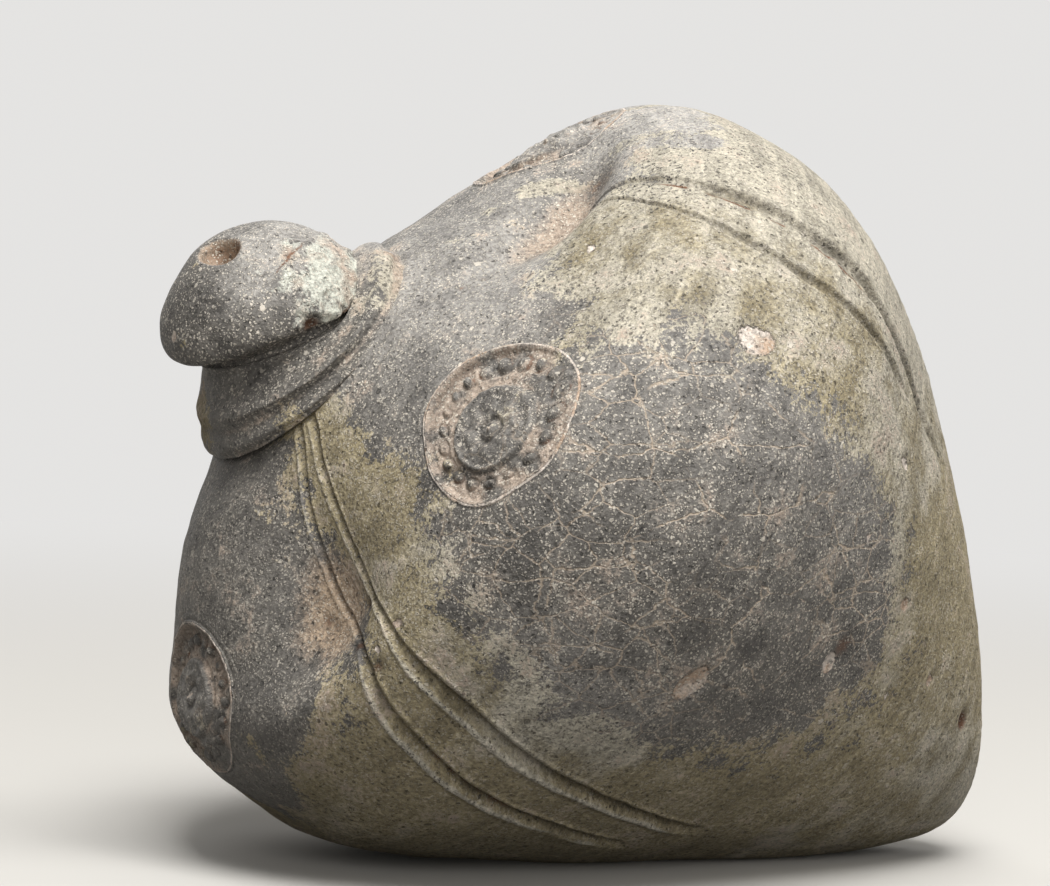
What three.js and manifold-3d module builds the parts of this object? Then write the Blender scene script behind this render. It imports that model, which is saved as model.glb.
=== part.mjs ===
// Spheroconical vessel: a thick-walled flask of fired clay, lying on its conical flank.
// Units are millimetres and +Z is up. The flask's own axis runs from its nose up to its mouth,
// and "height" below means a distance along that axis from the nose.
import * as THREE from "three";
import { mergeVertices } from "three/addons/utils/BufferGeometryUtils.js";
import Module from "manifold-3d";

// Body: flank and shoulder are straight cones, rounded where they meet the widest level
const BODY_RADIUS = 49;
const NOSE_RADIUS = 8.8;
const FLANK_ANGLE = THREE.MathUtils.degToRad(34.8);
const NOSE_ROUNDING = 32.5;
const FLANK_ROUNDING = 28;
const BELT_HEIGHT = 23.6;
const WIDEST_ABOVE_FLANK = 11.4;
const SHOULDER_ANGLE = THREE.MathUtils.degToRad(60);
const SHOULDER_ROUNDING = 8.7;
const NECK_SEAT_RADIUS = 16;
const WALL = 9;
const NOSE_WALL = 15;
const NECK_OPENING_RADIUS = 8;

// The hand-made body is bowed: its middle stands proud of the line from nose to neck
const BOW = 7.2;
const BOW_CREST_HEIGHT = 27;

// Seam between the two halves of the body, and the slip-filled gap in every luted joint
const SEAM_BELOW_WIDEST = 8;
const LUTE_GAP = 0.3;

// Thumb-pressed flutes between the four lobes, placed by eye: each one's turn at its deepest, in degrees about
// the axis from the top, how many degrees it slants for each millimetre up toward the neck, and how far below
// the neck seat it is deepest and ends
const FLUTES = [
  { turn: -142, slant: 0.4, deepest: 11.5, foot: 18 },
  { turn: -28, slant: -3.4, deepest: 9, foot: 14 },
  { turn: 47, slant: 1.2, deepest: 11, foot: 17 },
  { turn: 136, slant: -0.5, deepest: 11.5, foot: 18 },
];
const FLUTE_HEAD_BELOW_SEAT = 1.5;
const FLUTE_DEPTH = 4.2;
const FLUTE_WIDTH = THREE.MathUtils.degToRad(13);

// Between the flutes the lobes are puffed out
const SWELL_WIDTH = THREE.MathUtils.degToRad(32);
const SWELL_BELOW_SEAT = 27;

// Neck collar
const COLLAR_LEAN = THREE.MathUtils.degToRad(8);
const COLLAR_LOWER_RIDGE_RADIUS = 15.3;
const COLLAR_UPPER_RIDGE_RADIUS = 13.9;
const COLLAR_GROOVE_DEPTH = 1.1;
const COLLAR_WAIST_RADIUS = 10.2;
const COLLAR_LOWER_RIDGE_HEIGHT = 0.9;
const COLLAR_GROOVE_HEIGHT = 2.2;
const COLLAR_UPPER_RIDGE_HEIGHT = 3.8;
const COLLAR_WAIST_HEIGHT = 5.8;
const COLLAR_BORE_RADIUS = 5;

// Mouth knob
const KNOB_LEAN = THREE.MathUtils.degToRad(26);
const KNOB_LEAN_TO_FRONT = THREE.MathUtils.degToRad(8);
const KNOB_SEAT_HEIGHT = 5.6;
const KNOB_OFFSET = -1.4;
const KNOB_RIM_RADIUS = 12.1;
const KNOB_STEM_RADIUS = 9.8;
const KNOB_STEM_HEIGHT = 1.6;
const KNOB_DOME_HEIGHT = 10;
const KNOB_RIM_ROUNDING = 1.2;
const BORE_RADIUS = 2.5;
const MOUTH_FLARE = 1;

// Stamped roundels, one on each lobe: its turn in degrees, how far down the slope from the neck it sits,
// and how far its lobe is puffed out
const ROUNDELS = {
  roundel_top: { turn: 8, fromNeck: 23, swell: 1.4 },
  roundel_back: { turn: 93, fromNeck: 24, swell: 2 },
  roundel_under: { turn: -177, fromNeck: 29, swell: 3.4 },
  roundel_front: { turn: -93, fromNeck: 23.6, swell: 2 },
};
const ROUNDEL_RADIUS = 9.3;
const ROUNDEL_THICKNESS = 2.6;
const RIM_WIDTH = 0.8;
const RIM_RISE = 0.35;
const FIELD_DROP = 0.35;
const BEADS = 18;
const BEAD_RADIUS = 0.72;
const BEAD_RING_RADIUS = 7.1;
const BOSS_RADIUS = 5;
const BOSS_RISE = 0.6;
const BOSS_BEVEL = 0.5;
const EYE_RADIUS = 1.5;
const EYE_DROP = 0.45;

// Lying pose: just past the straight flank, on a small flat worn under it
const PITCH_GAIN = THREE.MathUtils.degToRad(0.5);
const REST_FLAT_DEPTH = 0.4;

// Facets
const BODY_SEGMENTS = 64;
const BODY_STEPS = 34;
const CAVITY_SEGMENTS = 48;
const CAVITY_STEPS = 22;
const NECK_SEGMENTS = 36;
const NECK_STEPS = 5;
const ROUNDEL_SEGMENTS = 24;
const BEAD_SEGMENTS = 6;
const BEAD_RINGS = 3;

// Heights that follow from the sizes above
const FLANK_TOP_HEIGHT = (BODY_RADIUS - NOSE_RADIUS) / Math.tan(FLANK_ANGLE);
const WIDEST_HEIGHT = FLANK_TOP_HEIGHT + WIDEST_ABOVE_FLANK;
const SHOULDER_FOOT_HEIGHT = FLANK_TOP_HEIGHT + BELT_HEIGHT;
const NECK_SEAT_HEIGHT = SHOULDER_FOOT_HEIGHT + (BODY_RADIUS - NECK_SEAT_RADIUS) / Math.tan(SHOULDER_ANGLE);
const SEAM_HEIGHT = WIDEST_HEIGHT - SEAM_BELOW_WIDEST;
const LYING_PITCH = FLANK_ANGLE + PITCH_GAIN;

const wasm = await Module();
wasm.setup();

// Turns a closed three.js geometry into a solid that can be joined and cut
function toSolid(geometry) {
  const bare = new THREE.BufferGeometry();
  bare.setAttribute("position", geometry.getAttribute("position"));
  bare.setIndex(geometry.getIndex());
  const merged = mergeVertices(bare, 1e-4);
  const corners = merged.getIndex().array;
  const kept = [];
  for (let i = 0; i < corners.length; i += 3) {
    const [a, b, c] = corners.slice(i, i + 3);
    if (a !== b && b !== c && c !== a) {
      kept.push(a, b, c);
    }
  }
  const mesh = new wasm.Mesh({
    numProp: 3,
    vertProperties: new Float32Array(merged.getAttribute("position").array),
    triVerts: new Uint32Array(kept),
  });
  return new wasm.Manifold(mesh);
}

// Turns a cut solid back into a three.js geometry
function toGeometry(solid) {
  const mesh = solid.getMesh();
  const geometry = new THREE.BufferGeometry();
  geometry.setAttribute("position", new THREE.BufferAttribute(mesh.vertProperties, 3));
  geometry.setIndex(new THREE.BufferAttribute(mesh.triVerts, 1));
  return geometry;
}

// Turns a section of (radius, height) points about the Z axis
function turned(points, segments) {
  return new THREE.LatheGeometry(points, segments).rotateX(Math.PI / 2);
}

// Moves every vertex of a geometry by a function of its place
function reshape(geometry, move) {
  const position = geometry.getAttribute("position");
  const point = new THREE.Vector3();
  for (let i = 0; i < position.count; i += 1) {
    point.fromBufferAttribute(position, i);
    move(point);
    position.setXYZ(i, point.x, point.y, point.z);
  }
  return geometry;
}

// A block that fills the space above a plane, used as a knife
function blockAbove(placement) {
  const size = 4 * BODY_RADIUS;
  return toSolid(new THREE.BoxGeometry(size, size, size).translate(0, 0, size / 2).applyMatrix4(placement));
}

// A block that fills the space below a plane
function blockBelow(placement) {
  return blockAbove(placement.clone().multiply(new THREE.Matrix4().makeRotationX(Math.PI)));
}

// Outer section of the whole body, from the nose on the axis up to the neck seat
function bodyPath() {
  const slope = Math.tan(FLANK_ANGLE);
  const foot = NOSE_ROUNDING * Math.cos(FLANK_ANGLE);
  const top = FLANK_TOP_HEIGHT - FLANK_ROUNDING * Math.cos(FLANK_ANGLE);
  const edgeHeight = SHOULDER_FOOT_HEIGHT + SHOULDER_ROUNDING * Math.cos(SHOULDER_ANGLE);
  const edgeRadius = BODY_RADIUS - SHOULDER_ROUNDING * Math.sin(SHOULDER_ANGLE);
  const path = new THREE.Path();
  path.moveTo(0, 0);
  path.quadraticCurveTo(NOSE_RADIUS, 0, NOSE_RADIUS + slope * foot, foot);
  path.lineTo(NOSE_RADIUS + slope * top, top);
  path.quadraticCurveTo(BODY_RADIUS, FLANK_TOP_HEIGHT, BODY_RADIUS, WIDEST_HEIGHT);
  path.quadraticCurveTo(BODY_RADIUS, SHOULDER_FOOT_HEIGHT, edgeRadius, edgeHeight);
  path.lineTo(NECK_SEAT_RADIUS, NECK_SEAT_HEIGHT);
  return path;
}

// The same section moved inward, square to itself, by the wall's thickness
function movedInward(outline) {
  return outline.map((point, i) => {
    const before = outline[Math.max(i - 1, 0)];
    const after = outline[Math.min(i + 1, outline.length - 1)];
    const along = after.clone().sub(before).normalize();
    return new THREE.Vector2(point.x - WALL * along.y, point.y + WALL * along.x);
  });
}

// Where a section of rising points crosses a height
function pointAt(points, height) {
  const next = points.findIndex((point) => point.y > height);
  const upper = next < 0 ? points.length - 1 : Math.max(next, 1);
  const low = points[upper - 1];
  const high = points[upper];
  const share = (height - low.y) / (high.y - low.y);
  return new THREE.Vector2(low.x + share * (high.x - low.x), height);
}

const BODY_PATH = bodyPath();
const OUTLINE = BODY_PATH.getSpacedPoints(BODY_STEPS);

// Sideways place of the body's centre at a height: a shallow bow
function bowAt(height) {
  const share = (height - BOW_CREST_HEIGHT) / (NECK_SEAT_HEIGHT - BOW_CREST_HEIGHT);
  return -BOW * share * share;
}

// A bell curve of the angle between a place and a turn in degrees
function nearTurn(angle, turn, width) {
  const apart = angle - THREE.MathUtils.degToRad(turn);
  return Math.exp(-((Math.atan2(Math.sin(apart), Math.cos(apart)) / width) ** 2));
}

// How far the shoulder is pressed in at an angle about the axis and a height: the flutes less the lobes' swell
function pressAt(angle, height) {
  let press = 0;
  for (const { turn, slant, deepest, foot } of FLUTES) {
    const above = deepest - (NECK_SEAT_HEIGHT - height);
    const reach = above > 0 ? deepest - FLUTE_HEAD_BELOW_SEAT : foot - deepest;
    const fade = 1 - THREE.MathUtils.smoothstep(Math.abs(above), 0, reach);
    press += FLUTE_DEPTH * fade * nearTurn(angle, turn + slant * above, FLUTE_WIDTH);
  }
  const rise = THREE.MathUtils.clamp(1 - (NECK_SEAT_HEIGHT - height) / SWELL_BELOW_SEAT, 0, 1);
  for (const { turn, swell } of Object.values(ROUNDELS)) {
    press -= swell * Math.sin(Math.PI * rise) * nearTurn(angle, turn, SWELL_WIDTH);
  }
  return press;
}

// Moves a place on the round body, given as radius, angle and height, to where the potter left it
function handMade(point, radius, angle, height) {
  const press = pressAt(angle, height);
  const pressedRadius = radius - press * Math.cos(SHOULDER_ANGLE);
  const pressedHeight = height - press * Math.sin(SHOULDER_ANGLE);
  point.set(pressedRadius * Math.cos(angle) + bowAt(height), pressedRadius * Math.sin(angle), pressedHeight);
}

// The body's outside, solid from the nose to the neck seat
function makeOutside() {
  const section = [...OUTLINE, new THREE.Vector2(0, NECK_SEAT_HEIGHT)];
  const shaped = reshape(turned(section, BODY_SEGMENTS), (point) => {
    handMade(point, Math.hypot(point.x, point.y), Math.atan2(point.y, point.x), point.z);
  });
  return toSolid(shaped);
}

// The hollow inside the wall, with the round opening left for the neck
function makeCavity() {
  const inner = movedInward(BODY_PATH.getSpacedPoints(CAVITY_STEPS));
  const openingRise = (NECK_SEAT_RADIUS - NECK_OPENING_RADIUS) / Math.tan(SHOULDER_ANGLE);
  const openingFoot = NECK_SEAT_HEIGHT + openingRise - WALL / Math.sin(SHOULDER_ANGLE);
  const pastSeat = NECK_SEAT_HEIGHT + WALL;
  const section = [
    new THREE.Vector2(0, NOSE_WALL),
    pointAt(inner, NOSE_WALL),
    ...inner.filter((point) => point.y > NOSE_WALL && point.y < openingFoot),
    new THREE.Vector2(NECK_OPENING_RADIUS, openingFoot),
    new THREE.Vector2(NECK_OPENING_RADIUS, pastSeat),
    new THREE.Vector2(0, pastSeat),
  ];
  const bowed = reshape(turned(section, CAVITY_SEGMENTS), (point) => {
    point.x += bowAt(point.z);
  });
  return toSolid(bowed);
}

// Places on the neck: the collar leans from the seat, and the knob leans more from the collar and a little to the front
function placeOn(base, side, lift, lean) {
  const shift = new THREE.Matrix4().makeTranslation(side, 0, lift);
  return base.clone().multiply(shift).multiply(new THREE.Matrix4().makeRotationY(lean));
}

const SEAT_PLACE = placeOn(new THREE.Matrix4(), bowAt(NECK_SEAT_HEIGHT), NECK_SEAT_HEIGHT, 0);
const COLLAR_PLACE = placeOn(SEAT_PLACE, 0, 0, COLLAR_LEAN);
const KNOB_SEAT_PLACE = placeOn(COLLAR_PLACE, KNOB_OFFSET, KNOB_SEAT_HEIGHT, KNOB_LEAN - COLLAR_LEAN)
  .multiply(new THREE.Matrix4().makeRotationX(KNOB_LEAN_TO_FRONT));

// Ring of two ridges, cut below by the shoulder's seat and above by the knob's, with a channel in line with the knob
function makeCollar() {
  const below = -NECK_SEAT_RADIUS * Math.tan(COLLAR_LEAN) - LUTE_GAP;
  const above = KNOB_SEAT_HEIGHT + KNOB_RIM_RADIUS * Math.tan(KNOB_LEAN);
  const grooveRadius = (COLLAR_LOWER_RIDGE_RADIUS + COLLAR_UPPER_RIDGE_RADIUS) / 2 - COLLAR_GROOVE_DEPTH;
  const outside = new THREE.SplineCurve([
    new THREE.Vector2(NECK_SEAT_RADIUS, 0),
    new THREE.Vector2(COLLAR_LOWER_RIDGE_RADIUS, COLLAR_LOWER_RIDGE_HEIGHT),
    new THREE.Vector2(grooveRadius, COLLAR_GROOVE_HEIGHT),
    new THREE.Vector2(COLLAR_UPPER_RIDGE_RADIUS, COLLAR_UPPER_RIDGE_HEIGHT),
    new THREE.Vector2(COLLAR_WAIST_RADIUS, COLLAR_WAIST_HEIGHT),
  ]);
  const section = [
    new THREE.Vector2(0, below),
    new THREE.Vector2(NECK_SEAT_RADIUS, below),
    ...outside.getPoints(2 * NECK_STEPS),
    new THREE.Vector2(COLLAR_WAIST_RADIUS, above),
    new THREE.Vector2(0, above),
  ];
  const ring = toSolid(turned(section, NECK_SEGMENTS).applyMatrix4(COLLAR_PLACE));
  const length = 4 * NECK_SEAT_RADIUS;
  const bore = new THREE.CylinderGeometry(COLLAR_BORE_RADIUS, COLLAR_BORE_RADIUS, length, NECK_SEGMENTS);
  return ring
    .subtract(blockBelow(placeOn(SEAT_PLACE, 0, LUTE_GAP, 0)))
    .subtract(blockAbove(KNOB_SEAT_PLACE))
    .subtract(toSolid(bore.rotateX(Math.PI / 2).applyMatrix4(KNOB_SEAT_PLACE)));
}

// Domed mouth with its narrow flared hole, standing on its own seat
function makeKnob() {
  const mouthRadius = BORE_RADIUS + MOUTH_FLARE;
  const rim = KNOB_STEM_HEIGHT;
  const crown = rim + KNOB_DOME_HEIGHT;
  const middle = rim + KNOB_DOME_HEIGHT / 2;
  const path = new THREE.Path();
  path.moveTo(BORE_RADIUS, 0);
  path.lineTo(KNOB_STEM_RADIUS, 0);
  path.lineTo(KNOB_RIM_RADIUS - KNOB_RIM_ROUNDING, rim - KNOB_RIM_ROUNDING / 2);
  path.quadraticCurveTo(KNOB_RIM_RADIUS, rim, KNOB_RIM_RADIUS, rim + KNOB_RIM_ROUNDING);
  path.bezierCurveTo(KNOB_RIM_RADIUS, middle, KNOB_RIM_RADIUS / 2, crown, mouthRadius, crown);
  path.quadraticCurveTo(BORE_RADIUS, crown, BORE_RADIUS, crown - MOUTH_FLARE);
  path.lineTo(BORE_RADIUS, 0);
  return toSolid(turned(path.getPoints(NECK_STEPS), NECK_SEGMENTS));
}

// Wraps something made flat onto a lobe, following the body's outline; its y runs up to the neck
function drape(geometry, { turn, fromNeck }) {
  const length = BODY_PATH.getLength();
  const centre = length - fromNeck;
  const centreRadius = BODY_PATH.getPointAt(centre / length).x;
  return reshape(geometry, (point) => {
    const angle = THREE.MathUtils.degToRad(turn) + point.x / centreRadius;
    const share = (centre + point.y) / length;
    const place = BODY_PATH.getPointAt(share);
    const along = BODY_PATH.getTangentAt(share);
    handMade(point, place.x + point.z * along.y, angle, place.y - point.z * along.x);
  });
}

// Stamped pad, made flat: a rim, a sunk field with its ring of beads, and a boss with an eye
function makeFlatRoundel() {
  const eyeFloor = BOSS_RISE - EYE_DROP;
  const section = [
    new THREE.Vector2(0, -ROUNDEL_THICKNESS),
    new THREE.Vector2(ROUNDEL_RADIUS, -ROUNDEL_THICKNESS),
    new THREE.Vector2(ROUNDEL_RADIUS, 0),
    new THREE.Vector2(ROUNDEL_RADIUS - RIM_WIDTH / 2, RIM_RISE),
    new THREE.Vector2(ROUNDEL_RADIUS - RIM_WIDTH, -FIELD_DROP),
    new THREE.Vector2(BOSS_RADIUS, -FIELD_DROP),
    new THREE.Vector2(BOSS_RADIUS - BOSS_BEVEL, BOSS_RISE),
    new THREE.Vector2(EYE_RADIUS, BOSS_RISE),
    new THREE.Vector2(EYE_RADIUS - BOSS_BEVEL, eyeFloor),
    new THREE.Vector2(0, eyeFloor),
  ];
  let pad = toSolid(turned(section, ROUNDEL_SEGMENTS));
  for (let i = 0; i < BEADS; i += 1) {
    const turn = (2 * Math.PI * i) / BEADS;
    const bead = new THREE.SphereGeometry(BEAD_RADIUS, BEAD_SEGMENTS, BEAD_RINGS);
    bead.translate(BEAD_RING_RADIUS * Math.cos(turn), BEAD_RING_RADIUS * Math.sin(turn), -FIELD_DROP);
    pad = pad.add(toSolid(bead));
  }
  return pad;
}

// The hole that a pad sits in, one luting gap larger all round
function makePocket(spot) {
  const radius = ROUNDEL_RADIUS + LUTE_GAP;
  const floor = -ROUNDEL_THICKNESS - LUTE_GAP;
  const section = [
    new THREE.Vector2(0, floor),
    new THREE.Vector2(radius, floor),
    new THREE.Vector2(radius, ROUNDEL_THICKNESS),
    new THREE.Vector2(0, ROUNDEL_THICKNESS),
  ];
  return toSolid(drape(turned(section, ROUNDEL_SEGMENTS), spot));
}

// Lowest point of the lower half as it lies, found on the meridian that faces down
function restPoint() {
  const places = OUTLINE.filter((point) => point.y < SEAM_HEIGHT).map((point) => {
    return new THREE.Vector3(bowAt(point.y) - point.x, 0, point.y).applyMatrix4(LYING_TURN);
  });
  return places.reduce((lowest, place) => (place.z < lowest.z ? place : lowest));
}

// The turn that lays the flask down with its mouth toward -X, then its shift onto the rest flat
const LYING_TURN = new THREE.Matrix4().makeRotationY(LYING_PITCH - Math.PI / 2);
const REST_POINT = restPoint();
const LYING_SHIFT = new THREE.Matrix4().makeTranslation(-REST_POINT.x, 0, -REST_POINT.z - REST_FLAT_DEPTH);
const LYING_PLACE = LYING_SHIFT.clone().multiply(LYING_TURN);

// Adds one named piece, with its own clay, to the flask
function addPiece(flask, name, solid, colour) {
  const geometry = toGeometry(solid);
  geometry.computeVertexNormals();
  const material = new THREE.MeshStandardMaterial({ color: colour, roughness: 0.75, metalness: 0 });
  const mesh = new THREE.Mesh(geometry, material);
  mesh.name = name;
  flask.add(mesh);
  return mesh;
}

const vessel = new THREE.Group();
vessel.name = "spheroconical_vessel";
vessel.applyMatrix4(LYING_PLACE);

// The seam parts the hollow body into its two halves, and the floor shaves the rest flat off the lower one
const shell = makeOutside().subtract(makeCavity());
const seamPlace = placeOn(new THREE.Matrix4(), 0, SEAM_HEIGHT, 0);
const lowerBody = shell
  .subtract(blockAbove(placeOn(seamPlace, 0, -LUTE_GAP, 0)))
  .subtract(blockBelow(LYING_PLACE.clone().invert()));
addPiece(vessel, "lower_body", lowerBody, 0x8b8272);

let shoulder = shell.subtract(blockBelow(seamPlace));
for (const [name, spot] of Object.entries(ROUNDELS)) {
  shoulder = shoulder.subtract(makePocket(spot));
  const pad = toSolid(drape(toGeometry(makeFlatRoundel()), spot));
  addPiece(vessel, name, pad, 0x8f867a);
}
addPiece(vessel, "shoulder", shoulder, 0x8d857a);
addPiece(vessel, "neck_collar", makeCollar(), 0x827a6e);
addPiece(vessel, "mouth_knob", makeKnob(), 0x7f786f).applyMatrix4(placeOn(KNOB_SEAT_PLACE, 0, LUTE_GAP, 0));

export default vessel;
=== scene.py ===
"""A small hand-made clay flask lying on its side: a lobed body with thumb-pressed flutes and pairs
of incised lines, a stamped roundel on each lobe, a ridged neck collar and a domed mouth knob, worn
and stained by soil."""

import math

import bpy
import numpy as np
from mathutils import Matrix, Vector


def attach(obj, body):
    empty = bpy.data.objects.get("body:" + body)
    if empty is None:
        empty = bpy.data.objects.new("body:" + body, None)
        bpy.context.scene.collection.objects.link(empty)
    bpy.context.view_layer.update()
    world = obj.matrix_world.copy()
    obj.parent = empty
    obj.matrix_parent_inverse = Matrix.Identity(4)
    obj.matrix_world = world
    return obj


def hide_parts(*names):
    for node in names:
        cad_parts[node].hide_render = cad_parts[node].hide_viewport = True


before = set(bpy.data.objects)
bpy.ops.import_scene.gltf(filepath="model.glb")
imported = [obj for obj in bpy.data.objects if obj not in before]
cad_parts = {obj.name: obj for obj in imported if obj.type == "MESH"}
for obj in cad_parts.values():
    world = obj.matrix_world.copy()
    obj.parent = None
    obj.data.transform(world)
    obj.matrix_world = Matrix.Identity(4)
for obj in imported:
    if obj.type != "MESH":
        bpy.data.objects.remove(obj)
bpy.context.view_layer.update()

bl_info = {
    "name": "Lobed clay flask",
    "version": (1, 0, 0),
    "blender": (4, 5, 0),
    "location": "View3D > Sidebar > Flask",
    "description": "Builds a lobed, soil-stained clay flask with incised lines and stamped roundels",
    "category": "Object",
}

MM = 0.001


def linear(hex_colour):
    """The linear red, green and blue of an sRGB hex colour."""
    shares = [int(hex_colour[i:i + 2], 16) / 255 for i in (1, 3, 5)]
    return tuple(s / 12.92 if s <= 0.04045 else ((s + 0.055) / 1.055) ** 2.4 for s in shares)


# Properties: sizes in metres, angles in radians and colours in linear light

def length(name, description, millimetres):
    """A length, given in millimetres."""
    return bpy.props.FloatProperty(
        name=name, description=description, default=millimetres * MM, unit="LENGTH")


def angle(name, description, degrees):
    """An angle, given in degrees."""
    return bpy.props.FloatProperty(
        name=name, description=description, default=math.radians(degrees), subtype="ANGLE")


def count(name, description, number):
    """A number of like things in a ring."""
    return bpy.props.IntProperty(name=name, description=description, default=number, min=3)


def colour(name, description, hex_colour):
    """A colour, given in sRGB."""
    return bpy.props.FloatVectorProperty(
        name=name, description=description, default=linear(hex_colour), subtype="COLOR", min=0, max=1)


class BodySizes(bpy.types.PropertyGroup):
    """The thrown body, its flutes and its incised lines."""
    radius: length("Body radius", "Half of the greatest width", 49)
    nose_radius: length("Nose radius", "Radius that the straight flank would have at the nose", 8.8)
    flank_angle: angle("Flank angle", "Angle of the conical flank to the axis", 34.8)
    nose_rounding: length("Nose rounding", "Length of flank that the nose's curve takes up", 32.5)
    flank_rounding: length("Flank rounding", "Length of flank that the belly's curve takes up", 28)
    belt_height: length("Belt height", "From the flank's top corner to the shoulder's", 23.6)
    widest_above_flank: length("Widest level", "Its height over the flank's top corner", 11.4)
    shoulder_angle: angle("Shoulder angle", "Angle of the shoulder's slope to the axis", 60)
    shoulder_rounding: length("Shoulder rounding", "Length of slope that its curve takes up", 8.7)
    seat_radius: length("Neck seat radius", "Where the shoulder ends under the collar", 16)
    opening_radius: length("Neck opening radius", "Hole in the shoulder under the collar", 8)
    wall: length("Wall", "Thickness of the body's wall", 9)
    nose_wall: length("Nose wall", "Thickness of clay in the nose", 15)
    bow: length("Bow", "How far the neck stands back from the line of the body", 7.2)
    bow_crest: length("Bow crest", "Height where the bow stands out furthest", 27)
    seam_below_widest: length("Seam level", "Depth of the luted seam under the widest level", 8)
    pitch_gain: angle("Pitch gain", "How far past its straight flank the flask lies", 0.5)
    nose_x: length("Nose along X", "Where the axis leaves the nose in the shared frame", 34.487)
    nose_z: length("Nose along Z", "Height of the axis at the nose as the flask lies", 6.517)
    flute_depth: length("Flute depth", "Depth of a thumb-pressed flute", 4.2)
    flute_width: angle("Flute width", "Half-width of a flute, about the axis", 13)
    flute_head: length("Flute head", "Depth under the neck seat where the flutes start", 1.5)
    swell_width: angle("Lobe width", "Half-width of a lobe's swell, about the axis", 32)
    swell_reach: length("Lobe reach", "Depth under the neck seat where the swell ends", 27)
    line_width: length("Line width", "Width of the widest incised line on the belly", 2.4)
    line_depth: length("Line depth", "Depth of the deepest incised line on the belly", 1.2)


class RoundelSizes(bpy.types.PropertyGroup):
    """The stamped roundels."""
    rim_radius: length("Rim radius", "Where the stamp's sunk field ends", 8.7)
    line_radius: length("Edge line radius", "Thin line left by the stamp's outer edge", 9.5)
    flange_radius: length("Flange radius", "Where the pad is smoothed into the lobe", 10.7)
    thickness: length("Thickness", "How far the pad goes into the lobe", 1.6)
    field_drop: length("Field drop", "Depth of the sunk field", 0.55)
    beads: count("Beads", "Number of beads in the ring", 19)
    bead_radius: length("Bead radius", "Half-width of a bead", 0.68)
    bead_ring: length("Bead ring radius", "Radius of the ring of beads", 7.0)
    boss_radius: length("Boss radius", "Radius of the raised middle", 5.0)
    petals: count("Petals", "Petals of the worn rosette on the boss", 8)
    eye_radius: length("Eye radius", "Radius of the ring at the centre", 1.35)


class NeckSizes(bpy.types.PropertyGroup):
    """The collar and the mouth knob."""
    collar_lean: angle("Collar lean", "How far the collar leans from the body's axis", 8)
    collar_foot: length("Collar foot radius", "Radius where the collar meets the shoulder", 16.2)
    collar_sink: length("Collar sink", "How far the collar's foot goes into the shoulder", 0.6)
    waist_radius: length("Waist radius", "Radius of the collar under the knob", 10.1)
    collar_bore: length("Collar bore", "Radius of the channel through the collar", 5)
    knob_lean: angle("Knob lean", "How far the knob leans from the body's axis", 26)
    knob_front_lean: angle("Knob lean to the front", "How far the knob leans to the front", 8)
    knob_height: length("Knob seat height", "Height of the knob's seat on the collar", 5.6)
    knob_offset: length("Knob offset", "How far off the collar's middle the knob sits", -1.4)
    luting: length("Luting gap", "Thickness of slip under the knob", 0.3)
    rim_radius: length("Knob radius", "Half of the knob's width", 12.1)
    stem_radius: length("Stem radius", "Radius of the knob's stem", 9.6)
    stem_aside: length("Stem aside", "How far the stem sits off the knob's middle, toward the body", 1.0)
    stem_height: length("Stem height", "Height of the knob's rim over its seat", 1.6)
    rim_rounding: length("Rim rounding", "Rounding of the knob's rim", 0.8)
    dome_height: length("Dome height", "Height of the dome over the rim", 10)
    bore_radius: length("Mouth bore", "Radius of the mouth's hole", 2.5)
    mouth_flare: length("Mouth flare", "How far the mouth's edge is worn open", 0.9)
    mouth_aside: length("Mouth aside", "How far it is off the dome's middle, away from the body", 2.3)
    mouth_front: length("Mouth to the front", "How far it is off the dome's middle, to the front", 1.1)


class ClayColours(bpy.types.PropertyGroup):
    """What the fired clay and what lies on it look like in plain light."""
    grey: colour("Grey clay", "The dense fabric where its skin is bare", "#827d75")
    dark: colour("Dark clay", "The fabric's darker mottling", "#524f4b")
    # The rubbed clay and the pale patina also colour the places where light is painted on
    light: colour("Rubbed clay", "The same fabric where it is rubbed pale", "#b4afa8")
    olive: colour("Olive patina", "The thin weathered skin over the clay", "#a6997b")
    pale: colour("Pale patina", "The same skin where it is thicker and chalky", "#bdb5a3")
    soil: colour("Soil", "Dried soil in hollows and lines", "#b3a292")
    warm_soil: colour("Warm soil", "Redder soil in the deep hollows", "#ab967f")
    rust: colour("Rusty soil", "Brown-red stain in chipped lines and on broken edges", "#876148")
    grit: colour("Grit", "Pale grains of the temper", "#e6dccc")
    crack: colour("Crackle", "Fine pale cracks in the bare clay", "#cbb8a2")
    crust: colour("Lime crust", "The whitish crust on the knob's side", "#c4c4b7")
    scar: colour("Spall scar", "Pale bottoms of small spalls", "#e0d3c6")
    warm_scar: colour("Warm scar", "Tan stain in the spalls", "#c2a58b")
    floor: colour("Floor", "The pale floor as the camera sees it", "#cdcac4")
    floor_bounce: colour("Floor bounce", "How much of its light the floor gives back", "#2c2a29")


# Where things are on the body: turns are in degrees about the axis from the top, distances from the
# neck are in millimetres along the body's outline

# Thumb-pressed flutes: turn at the deepest place, slant in degrees for each millimetre up toward the
# neck, and how far below the neck seat the flute is deepest and ends
FLUTES = (
    {"turn": -142, "slant": 0.4, "deepest": 11.5, "foot": 18},
    {"turn": -28, "slant": -3.4, "deepest": 9, "foot": 14},
    {"turn": 47, "slant": 1.2, "deepest": 11, "foot": 17},
    {"turn": 136, "slant": -0.5, "deepest": 11.5, "foot": 18},
)

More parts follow.
